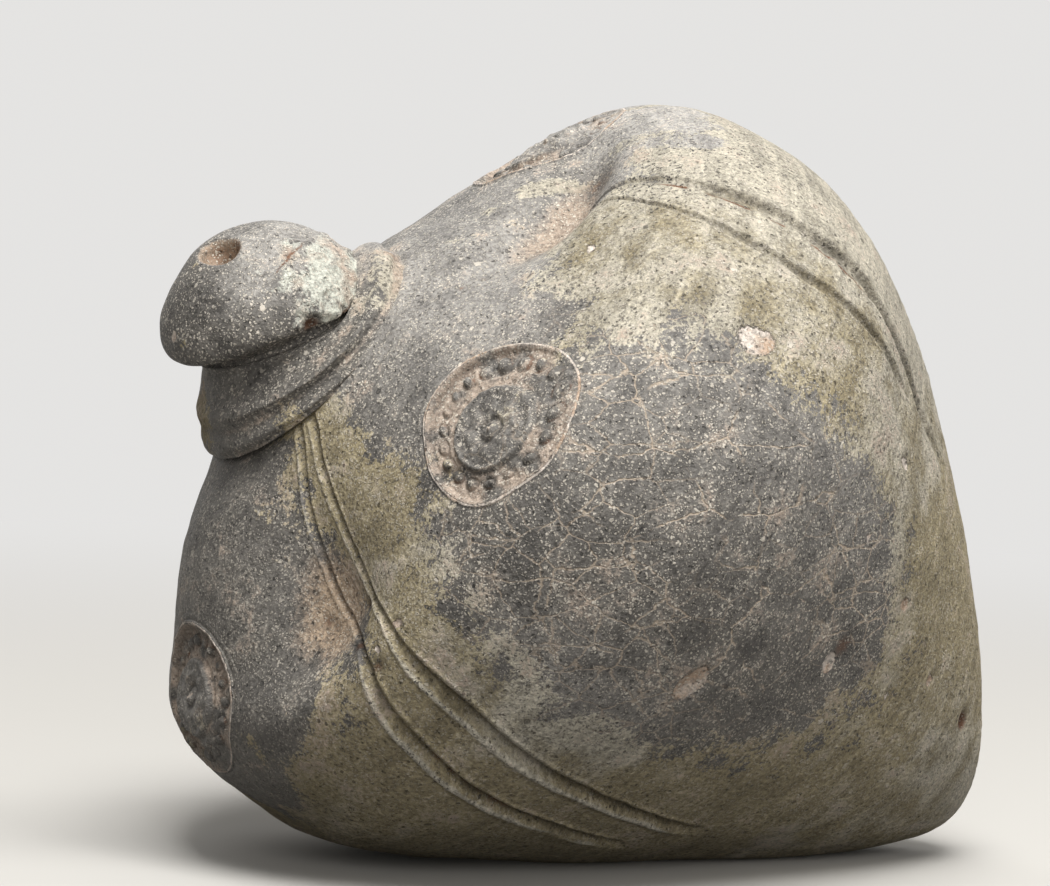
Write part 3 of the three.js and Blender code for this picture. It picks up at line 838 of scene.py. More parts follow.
def ragged(tree, field, mottle, grain, edges):
    """A painted field with a broken edge: the field plus coarse and fine noise, between two edges."""
    start, end = edges
    coarse = add_node(tree, "ShaderNodeMath", {0: mottle, 1: 1.2, 2: -0.6}, operation="MULTIPLY_ADD")[0]
    fine = add_node(tree, "ShaderNodeMath", {0: grain, 1: 0.7, 2: -0.35}, operation="MULTIPLY_ADD")[0]
    noise = add_node(tree, "ShaderNodeMath", {0: coarse, 1: fine})[0]
    broken = add_node(tree, "ShaderNodeMath", {0: field, 1: noise})[0]
    return add_node(tree, "ShaderNodeMapRange", {"Value": broken, "From Min": start, "From Max": end},
                    interpolation_type="SMOOTHSTEP")[0]


def grains(tree, place, kinds):
    """Scattered grains of several kinds, 1 inside and 0 outside. A kind is balls about points that
    are a spacing apart, of which a share are there, with random radii up to the largest, as the
    surface cuts them. All sizes are in millimetres."""
    mixed = None
    for spacing, largest, share in kinds:
        cells = add_node(tree, "ShaderNodeTexVoronoi", {"Vector": place, "Scale": 1 / (spacing * MM)})
        radius = add_node(tree, "ShaderNodeMapRange", {
            "Value": cells["Color"], "From Min": 1 - share, "From Max": 1, "To Max": largest / spacing})[0]
        inside = add_node(tree, "ShaderNodeMath", {
            0: radius, 1: cells["Distance"]}, operation="SUBTRACT")[0]
        kind = add_node(tree, "ShaderNodeMapRange", {"Value": inside, "From Max": GRAIN_EDGE / spacing})[0]
        if mixed is not None:
            kind = add_node(tree, "ShaderNodeMath", {0: mixed, 1: kind}, operation="MAXIMUM")[0]
        mixed = kind
    return mixed


def cracks(tree, place, spacing, bend, half_width):
    """Fine cracks, 1 on a crack and 0 off it: the edges of cells that are a spacing apart and bent
    by noise, all in millimetres."""
    wander = add_node(tree, "ShaderNodeTexNoise", {
        "Vector": place, "Scale": 1.6 / (spacing * MM), "Detail": 4, "Roughness": 0.65})["Color"]
    bent_place = add_node(tree, "ShaderNodeVectorMath", {0: wander, 1: (bend * MM,) * 3, 2: place},
                          operation="MULTIPLY_ADD")[0]
    plates = add_node(tree, "ShaderNodeTexVoronoi", {
        "Vector": bent_place, "Scale": 1 / (spacing * MM)}, feature="DISTANCE_TO_EDGE")["Distance"]
    edge = half_width / spacing
    return add_node(tree, "ShaderNodeMapRange", {
        "Value": plates, "From Min": 0.3 * edge, "From Max": 1.5 * edge, "To Min": 1, "To Max": 0})[0]


def fired_clay(name, crackle, streaks):
    """Dense grey stoneware-like clay, hand-turned, smoothed and fired without a glaze, then
    weathered in the ground. To the eye it is matt: grey fabric full of pale grit and fine cracks, a
    ragged olive skin over much of it, faint turning streaks, and dry pinkish soil held in the
    hollows. Crackle and streaks tell how much of each it has."""
    scene = bpy.context.scene
    colours = scene.flask_colours
    pitch = scene.flask_body.flank_angle + scene.flask_body.pitch_gain
    material = bpy.data.materials.new(name)
    material.use_nodes = True
    tree = material.node_tree
    tree.nodes.clear()
    place = add_node(tree, "ShaderNodeTexCoord")["Object"]
    upright = add_node(tree, "ShaderNodeMapping", {
        "Vector": place, "Rotation": (0, math.pi / 2 - pitch, 0)})[0]
    painted = {field: add_node(tree, "ShaderNodeAttribute", attribute_name=field)["Fac"]
               for field in PAINTED}

    # Noise at the sizes of the clay's own mottling and grain
    broad = add_node(tree, "ShaderNodeTexNoise", {
        "Vector": place, "Scale": 1 / (BROAD_MOTTLE * MM), "Detail": 3})["Fac"]
    mottle = add_node(tree, "ShaderNodeTexNoise", {
        "Vector": place, "Scale": 1 / (CLOSE_MOTTLE * MM), "Detail": 6, "Roughness": 0.62})["Fac"]
    grain = add_node(tree, "ShaderNodeTexNoise", {
        "Vector": place, "Scale": 1 / (GRAIN * MM), "Detail": 3, "Roughness": 0.7})["Fac"]

    # Turning streaks run round the axis, so they are noise that is stretched that way
    round_axis = add_node(tree, "ShaderNodeMapping", {
        "Vector": upright, "Scale": tuple(1 / (size * MM) for size in STREAK)})[0]
    streak = add_node(tree, "ShaderNodeTexNoise", {
        "Vector": round_axis, "Scale": 1, "Detail": 4, "Roughness": 0.6, "Distortion": 0.3})["Fac"]

    # Bare clay, dark and grey by its mottling, and pale where it is rubbed or where light is painted on
    clay_share = add_node(tree, "ShaderNodeMapRange", {
        "Value": mottle, "From Min": 0.3, "From Max": 0.7})[0]
    clay = add_node(tree, "ShaderNodeMix", {
        SHARE: clay_share, BELOW: opaque(colours.dark), ABOVE: opaque(colours.grey)},
        data_type="RGBA")[MIXED]
    rubbing = add_node(tree, "ShaderNodeMath", {0: clay_share, 1: 0.7, 2: 0.6}, operation="MULTIPLY_ADD")[0]
    rubbed = add_node(tree, "ShaderNodeMath", {0: painted["chalk_and_painted_light"], 1: rubbing, 2: -0.1},
                      operation="MULTIPLY_ADD", use_clamp=True)[0]
    clay = add_node(tree, "ShaderNodeMix", {
        SHARE: rubbed, BELOW: clay, ABOVE: opaque(colours.light)}, data_type="RGBA")[MIXED]

    # Its olive skin, pale where it is thick or where light is painted on, and blotched by the mottling
    uneven = add_node(tree, "ShaderNodeMath", {0: broad, 1: mottle})[0]
    chalky = add_node(tree, "ShaderNodeMath", {0: painted["chalk_and_painted_light"], 1: 0.55, 2: uneven},
                      operation="MULTIPLY_ADD")[0]
    skin_share = add_node(tree, "ShaderNodeMapRange", {
        "Value": chalky, "From Min": 1.06, "From Max": 1.42}, interpolation_type="SMOOTHSTEP")[0]
    patina = add_node(tree, "ShaderNodeMix", {
        SHARE: skin_share, BELOW: opaque(colours.olive), ABOVE: opaque(colours.pale)},
        data_type="RGBA")[MIXED]
    blotch = add_node(tree, "ShaderNodeMapRange", {
        "Value": mottle, "From Min": 0.35, "From Max": 0.65, "To Min": 0.8, "To Max": 1.2})[0]
    patina = add_node(tree, "ShaderNodeVectorMath", {0: patina, "Scale": blotch}, operation="SCALE")[0]
    skin = ragged(tree, painted["patina"], mottle, grain, RAGGED_EDGES["patina"])
    shade = add_node(tree, "ShaderNodeMix", {
        SHARE: skin, BELOW: clay, ABOVE: patina}, data_type="RGBA")[MIXED]

    # Lighter and darker by the streaks and the grain
    streak_shade = add_node(tree, "ShaderNodeMapRange", {
        "Value": streak, "From Min": 0.3, "From Max": 0.7,
        "To Min": 1 - 0.26 * streaks, "To Max": 1 + 0.2 * streaks})[0]
    grain_shade = add_node(tree, "ShaderNodeMapRange", {
        "Value": grain, "From Min": 0.3, "From Max": 0.7, "To Min": 0.5, "To Max": 1.5})[0]
    tone = add_node(tree, "ShaderNodeMath", {0: streak_shade, 1: grain_shade}, operation="MULTIPLY")[0]
    shade = add_node(tree, "ShaderNodeVectorMath", {0: shade, "Scale": tone}, operation="SCALE")[0]

    # Cracks in the bare clay: coarse ones, broken off where the mottling is dark, and fine ones in
    # places
    level = add_node(tree, "ShaderNodeMapping", {"Vector": place, "Scale": CRACK_SCALES})[0]
    kept = add_node(tree, "ShaderNodeMapRange", {"Value": mottle, "From Min": 0.43, "From Max": 0.53})[0]
    kept_fine = add_node(tree, "ShaderNodeMapRange", {
        "Value": broad, "From Min": 0.46, "From Max": 0.62, "To Max": 0.9})[0]
    coarse_crack = add_node(tree, "ShaderNodeMath", {
        0: cracks(tree, level, *COARSE_CRACKS), 1: kept}, operation="MULTIPLY")[0]
    fine_crack = add_node(tree, "ShaderNodeMath", {
        0: cracks(tree, level, *FINE_CRACKS), 1: kept_fine}, operation="MULTIPLY")[0]
    crack = add_node(tree, "ShaderNodeMath", {0: coarse_crack, 1: fine_crack}, operation="MAXIMUM")[0]
    bare = add_node(tree, "ShaderNodeMath", {0: 1, 1: skin}, operation="SUBTRACT")[0]
    for share in (bare, painted["crazed"]):
        crack = add_node(tree, "ShaderNodeMath", {0: crack, 1: share}, operation="MULTIPLY")[0]
    crack_share = add_node(tree, "ShaderNodeMath", {0: crack, 1: crackle}, operation="MULTIPLY")[0]
    shade = add_node(tree, "ShaderNodeMix", {
        SHARE: crack_share, BELOW: shade, ABOVE: opaque(colours.crack)}, data_type="RGBA")[MIXED]

    # Grains with jagged outlines: pale grit, dark pits, and dark clay that shows through the pale skin
    # in specks, close to the bare places
    wander = add_node(tree, "ShaderNodeTexNoise", {
        "Vector": place, "Scale": 1 / (JAGGED * MM), "Detail": 1})["Color"]
    jagged = add_node(tree, "ShaderNodeVectorMath", {0: wander, 1: (JAGGED * MM,) * 3, 2: place},
                      operation="MULTIPLY_ADD")[0]
    grit = grains(tree, jagged, GRIT)
    pits = grains(tree, jagged, PITS)
    near_bare = add_node(tree, "ShaderNodeMapRange", {
        "Value": painted["patina"], "From Max": 1, "To Min": 1.6, "To Max": 0})[0]
    worn_through = add_node(tree, "ShaderNodeMath", {0: near_bare, 1: painted["chalk_and_painted_light"]},
                            operation="MULTIPLY", use_clamp=True)[0]
    specks = grains(tree, jagged, SPECKS)
    for share in (skin, worn_through):
        specks = add_node(tree, "ShaderNodeMath", {0: specks, 1: share}, operation="MULTIPLY")[0]
    shade = add_node(tree, "ShaderNodeMix", {
        SHARE: specks, BELOW: shade, ABOVE: opaque(colours.dark)}, data_type="RGBA")[MIXED]

    # Dried soil, spalls and crust, each in two colours with the clay's own grain in them, and rusty
    # stains
    stained = add_node(tree, "ShaderNodeMapRange", {"Value": mottle, "From Min": 0.48, "From Max": 0.6})[0]
    covered = {field: ragged(tree, painted[field], mottle, grain, RAGGED_EDGES[field])
               for field in ("soil", "spall", "crust", "rust")}
    for field, share, plain, second in (
            ("soil", painted["warm"], colours.soil, colours.warm_soil),
            ("spall", stained, colours.scar, colours.warm_scar),
            ("crust", stained, colours.crust, colours.soil)):
        layer = add_node(tree, "ShaderNodeMix", {
            SHARE: share, BELOW: opaque(plain), ABOVE: opaque(second)}, data_type="RGBA")[MIXED]
        layer = add_node(tree, "ShaderNodeVectorMath", {
            0: layer, "Scale": grain_shade}, operation="SCALE")[0]
        shade = add_node(tree, "ShaderNodeMix", {
            SHARE: covered[field], BELOW: shade, ABOVE: layer}, data_type="RGBA")[MIXED]
    shade = add_node(tree, "ShaderNodeMix", {
        SHARE: covered["rust"], BELOW: shade, ABOVE: opaque(colours.rust)}, data_type="RGBA")[MIXED]

    # The grit over all of that, thinner where the skin covers it, the mottling is dark or the clay is
    # smoothed
    through_skin = add_node(tree, "ShaderNodeMapRange", {"Value": skin, "To Min": 1, "To Max": 0.7})[0]
    bright = add_node(tree, "ShaderNodeMapRange", {
        "Value": mottle, "From Min": 0.35, "From Max": 0.6, "To Min": 0.45, "To Max": 1})[0]
    uncovered = add_node(tree, "ShaderNodeMath", {0: 1, 1: painted["smoothed"]}, operation="SUBTRACT")[0]
    grit_share = grit
    for share in (through_skin, bright, uncovered):
        grit_share = add_node(tree, "ShaderNodeMath", {0: grit_share, 1: share}, operation="MULTIPLY")[0]
    shade = add_node(tree, "ShaderNodeMix", {
        SHARE: grit_share, BELOW: shade, ABOVE: opaque(colours.grit)}, data_type="RGBA")[MIXED]
    # Pits darken the clay, and so do dents, chips and the painted shade in lines, roundels and the mouth
    for hollow, darkest in ((pits, PIT_SHADE), (painted["dark"], DENT_AND_PAINTED_SHADE)):
        darker = add_node(tree, "ShaderNodeMapRange", {"Value": hollow, "To Min": 1, "To Max": darkest})[0]
        shade = add_node(tree, "ShaderNodeVectorMath", {0: shade, "Scale": darker}, operation="SCALE")[0]

    # Fine relief, too small for the mesh: grain, streaks, grit standing out, pits, cracks and spalls
    # sunk in
    relief = grain
    for height, rise in ((streak, 0.5 * streaks), (grit, 0.4), (pits, -0.9), (crack, -0.25 * crackle),
                         (covered["spall"], -1.6)):
        relief = add_node(tree, "ShaderNodeMath", {
            0: height, 1: rise, 2: relief}, operation="MULTIPLY_ADD")[0]
    normal = add_node(tree, "ShaderNodeBump", {
        "Strength": 1, "Distance": FINE_RELIEF * MM, "Height": relief})[0]
    rough = add_node(tree, "ShaderNodeMapRange", {"Value": skin, "To Min": 0.62, "To Max": 0.85})[0]
    surface = add_node(tree, "ShaderNodeBsdfPrincipled", {
        "Base Color": shade, "Roughness": rough, "IOR": 1.5, "Specular IOR Level": 0.35,
        "Normal": normal})[0]
    add_node(tree, "ShaderNodeOutputMaterial", {"Surface": surface})
    return material


# Operators

class FLASK_OT_body(bpy.types.Operator):
    """Makes the conical lower body and the lobed shoulder as two shells that meet at their luted
    seam."""
    bl_idname = "flask.body"
    bl_label = "Body"

    def execute(self, context):
        body = Body()
        clay = fired_clay("fired_clay_thrown", crackle=1.0, streaks=1.0)
        rows = np.concatenate([
            np.linspace(body.length, body.seam_from_neck, LOWER_ROWS),
            np.linspace(body.seam_from_neck, 0, SHOULDER_ROWS + 1)[1:],
        ])[:, None]
        from_neck = np.broadcast_to(rows, (len(rows), 4 * LOBE_COLUMNS))
        turn = self.columns(rows)
        lift, fields = body_relief(body, from_neck, turn, dips=True)
        places = body.place(from_neck, turn) + body.normal(from_neck, turn) * lift[..., None]
        places[0] = places[0].mean(axis=0)
        outer = body.lie_down(places)
        normals = grid_normals(outer)
        seam = LOWER_ROWS - 1
        opening = self.inner_section(body)

        inside = self.inner_rings(body, opening[opening[:, 1] <= body.seam], turn[seam])
        outside = {name: values[:seam + 1] for name, values in fields.items()}
        make_piece("lower_body_clay", np.concatenate([outer[:seam + 1], inside]),
                   with_inside(outside, INNER_ROWS), False, "lower_body", clay,
                   [(seam, normals[seam])])
        inside = self.inner_rings(body, opening[opening[:, 1] >= body.seam], turn[seam])
        outside = {name: values[seam:] for name, values in fields.items()}
        make_piece("shoulder_clay", np.concatenate([outer[seam:], inside]),
                   with_inside(outside, INNER_ROWS), True, "shoulder", clay,
                   [(0, normals[seam]), (len(rows) - 1 - seam, normals[-1])])
        return {"FINISHED"}

    @staticmethod
    def columns(rows):
        """Turns of the columns on each row: they follow the middles of the pairs of lines, crowd
        near them and share out the lobes between."""
        near = np.linspace(0, LINE_SHARE, LINE_COLUMNS, endpoint=False)
        lobe = np.linspace(LINE_SHARE, 1 - LINE_SHARE, LOBE_COLUMNS - 2 * LINE_COLUMNS, endpoint=False)
        share = np.concatenate([near, lobe, 1 - LINE_SHARE + near])
        middles = [sum(through(path, rows / MM) for path in pair["paths"]) / 2 for pair in LINE_PAIRS]
        middles.append(middles[0] + 360)
        lobes = [low + (high - low) * share for low, high in zip(middles, middles[1:])]
        return np.concatenate(lobes, axis=1)

    @staticmethod
    def inner_section(body):
        """Section of the hollow, from its floor in the nose up to the neck opening: the outline
        moved inward by the wall, cut off above the nose and at the opening."""
        size = body.size
        slope = np.gradient(body.outline, axis=0)
        slope /= np.linalg.norm(slope, axis=1, keepdims=True)
        moved = body.outline + size.wall * np.stack([-slope[:, 1], slope[:, 0]], axis=-1)
        moved = moved[(moved[:, 1] > size.nose_wall) & (moved[:, 0] > size.opening_radius)]
        floor = [(0, size.nose_wall), (0.97 * moved[0, 0], size.nose_wall)]
        return np.concatenate([floor, moved, [(size.opening_radius, body.seat)]])

    @staticmethod
    def inner_rings(body, section, turn):
        """Rings of the hollow as it lies, evenly spaced along its section, from the top down."""
        radius, height = spaced(section, INNER_ROWS).T
        rings = turned(radius[:, None], turn[None, :], height[:, None])
        rings[..., 0] += body.bowed(height)[:, None]
        return body.lie_down(rings)[::-1]


class FLASK_OT_roundels(bpy.types.Operator):
    """Makes the four stamped roundels: pads that are smoothed into the lobes, each with a sunk
    field, a ring of beads and a boss with a worn rosette."""
    bl_idname = "flask.roundels"
    bl_label = "Roundels"

    def execute(self, context):
        clay = fired_clay("fired_clay_stamped", crackle=0.5, streaks=0.2)
        for number, roundel in enumerate(ROUNDELS):
            self.make(Body(), context.scene.flask_roundels, roundel, number, clay)
        return {"FINISHED"}

    @staticmethod
    def make(body, size, roundel, number, clay):
        """A pad draped on its lobe: rings under the lobe's surface, out to the flange, then rings of
        the stamped face back to the middle. Each place is the lobe's own surface, lifted square to
        it."""
        way = np.linspace(0, 360, ROUNDEL_COLUMNS, endpoint=False)[None, :]
        under = np.linspace(0, size.flange_radius, PAD_RINGS + 1)[:-1, None]
        face = np.linspace(size.flange_radius, 0, ROUNDEL_RINGS)[:, None]
        rings = np.concatenate([under, face])
        radius = np.broadcast_to(rings, (len(rings), ROUNDEL_COLUMNS))
        middle_radius, _ = body.section(np.array(roundel["from_neck"] * MM))
        across, along = stretched(radius * np.cos(np.radians(way)), radius * np.sin(np.radians(way)),
                                  roundel["toward"], roundel["stretch"])
        off_middle = 1 - smooth_step(radius / size.rim_radius, 0.3, 0.95)
        across = across + roundel["middle"][0] * MM * off_middle
        along = along + roundel["middle"][1] * MM * off_middle
        turn = roundel["turn"] + np.degrees(across / middle_radius)
        from_neck = roundel["from_neck"] * MM - along
        lobe_lift, fields = body_relief(body, from_neck, turn, dips=False)
        plain = body.place(from_neck, turn)
        rise, stamped_fields = stamped(size, radius / MM, way, plain, roundel, number)
        sunk = 1 - smooth_step(radius[:PAD_RINGS] / size.flange_radius, 0.8, 1.1)
        rise[:PAD_RINGS] = -size.thickness / MM * sunk
        lift = lobe_lift + rise * MM
        for field, values in stamped_fields.items():
            fields[field] = np.maximum(fields[field], np.clip(values, 0, 1))
        places = plain + body.normal(from_neck, turn) * lift[..., None]
        make_piece(roundel["node"] + "_clay", body.lie_down(places), fields, False, roundel["node"],
                   clay)


def stamped(size, radius, way, places, roundel, seed):
    """Height of the stamped face over the lobe, in millimetres, and the fields it is painted by. The
    height is a sum of steps and bells of the distance from the middle: a flange that sinks into the
    lobe, the edge line, the sunk field, its beads, and the boss with its lip, petals and eye."""
    spin = roundel["spin"]
    rim, edge, flange = size.rim_radius / MM, size.line_radius / MM, size.flange_radius / MM
    boss, eye, drop = size.boss_radius / MM, size.eye_radius / MM, size.field_drop / MM
    rubbed = bell(turn_apart(way, roundel["worn"]), 32) * smooth_step(radius, 4, 6)
    wear = (0.75 + 0.25 * waves(places, 11 * MM, 40 + seed)) * (1 - 0.6 * rubbed)
    wobble = 0.16 * waves(places, 8 * MM, 50 + seed)
    radius = radius + wobble * smooth_step(radius, 0.5, 2)
    off_rim = radius - rim - RIM_LINE
    toward_neck = np.sin(np.radians(way))

    # The sunk field with its edges
    field = drop * (1 + 0.6 * toward_neck - 0.6 * rubbed) * (1 - smooth_step(radius, rim - 0.3, rim + 0.2))
    rise = 0.03 - 0.3 * smooth_step(radius, flange - 0.5, flange) - field
    rise -= 0.1 * bell(radius - edge, 0.16)
    rise += (0.14 + 0.08 * toward_neck) * bell(off_rim, 0.28)

    # The boss with its lip, petals and eye, hollowed on the side away from the neck
    raised = drop * (0.95 + 0.25 * wear) * (1 - smooth_step(radius, boss - 0.45, boss + 0.2))
    lip = 0.2 * wear * bell(radius - boss + 0.6, 0.35)
    petal = np.cos(np.radians(way + spin) * size.petals)
    petals = 0.13 * wear * petal * bell(radius - 0.6 * boss, 0.8)
    eye_ring = (-0.42 * bell(radius - eye, 0.34) + 0.16 * bell(radius, 0.5)
                + 0.14 * bell(radius - 2 * eye, 0.4))
    moat = -0.25 * bell(radius - 0.82 * boss, 0.5) * smooth_step(-toward_neck, -0.1, 0.7)
    rise += raised + lip + petals + eye_ring + moat
    rise += 0.08 * wear * bell(radius - boss - 0.65, 0.2)

    # The beads, each a little off its place and of its own size
    pitch = 360 / size.beads
    slot = np.round((way + spin) / pitch)
    apart = np.radians(way + spin - slot * pitch) * radius
    jitter = np.sin(slot * 12.9898 + seed * 4.1)
    ring = size.bead_ring / MM + 0.22 * jitter
    bead_radius = size.bead_radius / MM * (1 + 0.2 * np.sin(slot * 7.13 + seed))
    from_bead = np.hypot(apart - 0.15 * jitter, radius - ring) / bead_radius
    bead = np.sqrt(np.clip(1 - from_bead ** 2, 0, 1)) * (0.5 + 0.25 * np.sin(slot * 3.7 + seed)) * wear
    rise += bead - 0.18 * bell(from_bead - 1.25, 0.25)
    rise += 0.06 * waves(places, 1.3 * MM, 60 + seed) * (1 - smooth_step(radius, rim, rim + 0.8))

    # Soil in the hollows; painted shade along the sunk field's edge toward the neck, round the beads, in
    # the eye ring and between the petals; rust between the beads; and a pale rim line
    off_boss = smooth_step(radius, boss - 0.3, boss + 0.3)
    by_bead = bell(from_bead - 1.1, 0.3)
    in_field = off_boss * (1 - smooth_step(radius, rim + 0.1, rim + 0.6))
    kept = (0.72 + 0.34 * waves(places, 3.5 * MM, 65 + seed)) * (1 - 0.7 * rubbed)
    soil = in_field * kept * (1 - 0.9 * np.clip(bead / 0.45, 0, 1))
    soil += 0.75 * bell(radius, 0.5) + 0.3 * bell(off_rim, 0.2)
    soil += 0.55 * bell(radius - boss + 0.1, 0.3) * smooth_step(toward_neck, -0.2, 0.6)
    shaded = 0.5 * bell(radius - rim + 0.25, 0.35) * smooth_step(toward_neck, 0, 0.8)
    shaded += 0.6 * by_bead + 0.75 * bell(radius - eye, 0.28)
    shaded += 0.35 * np.clip(-petal, 0, 1) * bell(radius - 0.6 * boss, 0.7)
    rusty = 0.55 * by_bead * smooth_step(waves(places, 2.5 * MM, 68 + seed), 0, 0.7)
    rim_line = 0.9 * bell(off_rim, 0.16)
    return rise, {"soil": soil, "dark": shaded, "rust": rusty, "spall": rim_line,
                  "chalk_and_painted_light": 0.3 * (1 - off_boss)}


class FLASK_OT_collar(bpy.types.Operator):
    """Makes the collar: a leaning ring with two worn ridges that draws in to the knob's seat."""
    bl_idname = "flask.collar"
    bl_label = "Neck collar"

    def execute(self, context):
        body = Body()
        size = context.scene.flask_neck
        clay = fired_clay("fired_clay_neck", crackle=0.25, streaks=0.8)
        turn = np.linspace(-180, 180, NECK_COLUMNS, endpoint=False)[None, :]
        share = np.linspace(0, 1, COLLAR_ROWS)[:, None]
        top = self.seat_height(size, size.waist_radius, turn)
        height = -size.collar_sink + share * (top + size.collar_sink) + self.pushed_up(turn, share)
        radius, groove = self.ridged(size, turn, share)
        outer = turned(radius, turn, height)
        outer += self.worn(outer, turn, share)[..., None] * turned(1.0, turn, 0.0)
        down = np.linspace(1, 0, BORE_ROWS)[:, None]
        bore_top = self.seat_height(size, size.collar_bore, turn)
        bore_height = -size.collar_sink + down * (bore_top + size.collar_sink)
        bore = turned(np.full_like(bore_height, size.collar_bore), turn, bore_height)
        bore[..., 0] += size.knob_offset
        seat = np.array([body.bowed(body.seat), 0, body.seat])
        rings = leaned(np.concatenate([outer, bore]), size.collar_lean, 0, seat)
        right = bell(turn_apart(turn, -20), 45) * np.ones_like(height)
        fields = {
            "patina": np.clip(-0.35 + 0.35 * right + 0.3 * waves(outer, 12 * MM, 71), -1, 1),
            "chalk_and_painted_light": 0.8 * right,
            "soil": np.clip(0.4 * groove + 0.3 * right, 0, 1),
            "warm": 0.25 * groove,
            "smoothed": np.full(outer.shape[:2], 0.25),
            "rust": 0.35 * right * smooth_step(waves(outer, 5 * MM, 72), 0.3, 1.2),
        }
        make_piece("neck_collar_clay", body.lie_down(rings), with_inside(fields, BORE_ROWS), True,
                   "neck_collar", clay)
        return {"FINISHED"}

    @staticmethod
    def seat_height(size, radius, turn):
        """Height of the knob's slanting seat over a circle about the collar's axis: a plane through the
        seat's middle, square to the knob's axis."""
        lean = size.knob_lean - size.collar_lean
        slope_across = -math.tan(lean)
        slope_front = math.tan(size.knob_front_lean) / math.cos(lean)
        across = radius * np.cos(np.radians(turn)) - size.knob_offset
        return size.knob_height + slope_across * across + slope_front * radius * np.sin(np.radians(turn))

    @staticmethod
    def pushed_up(turn, share):
        """Clay pushed up against the knob's rim on the upper side: a bell about that side, times a
        smooth rise toward the rim and a short fall behind it."""
        middle, half_width, rise = COLLAR_HUMP
        up = smooth_step(share, 0.05, 0.6) * (1 - smooth_step(share, 0.8, 0.95))
        return rise * MM * up * bell(turn_apart(turn, middle), half_width)

    @staticmethod
    def ridged(size, turn, share):
        """Radius of the collar and how deep in a groove each place is: a taper from foot to waist by
        a power of the share of the height, plus bells for the ridges and less bells for the grooves,
        a little askew."""
        up = share + 0.02 * np.sin(np.radians(turn + 40)) + 0.012 * np.sin(np.radians(3 * turn))
        taper = np.clip(up / WAIST_SHARE, 0, 1) ** WAIST_POWER
        ridges = sum(rise * bell(up - level, half) for rise, level, half in COLLAR_RIDGES)
        grooves = sum(depth * bell(up - level, half) for depth, level, half in COLLAR_GROOVES)
        kept = 0.65 - 0.25 * bell(turn_apart(turn, -15), 50) + 1.25 * bell(turn_apart(turn, -112), 48)
        middle, half_width, fuller = FULL_WAIST
        waist = size.waist_radius + fuller * MM * bell(turn_apart(turn, middle), half_width)
        radius = size.collar_foot + (waist - size.collar_foot) * taper + (ridges - grooves) * kept * MM
        groove = bell(up - 0.29, 0.06) + bell(up, 0.07) + 0.5 * bell(up - 0.7, 0.1)
        return radius, np.clip(groove, 0, 1)

    @staticmethod
    def worn(places, turn, share):
        """Unevenness of the collar: slow waves all round, and close wavy ridges where it is worn, to
        the right."""
        right = bell(turn_apart(turn, -25), 45)
        rings = np.sin(2 * math.pi * WORN_RINGS * share + 2.2 * waves(places, 9 * MM, 73))
        uneven = 0.12 * waves(places, 9 * MM, 74) + 0.05 * waves(places, 2.5 * MM, 75)
        return (uneven + 0.13 * right * rings) * MM


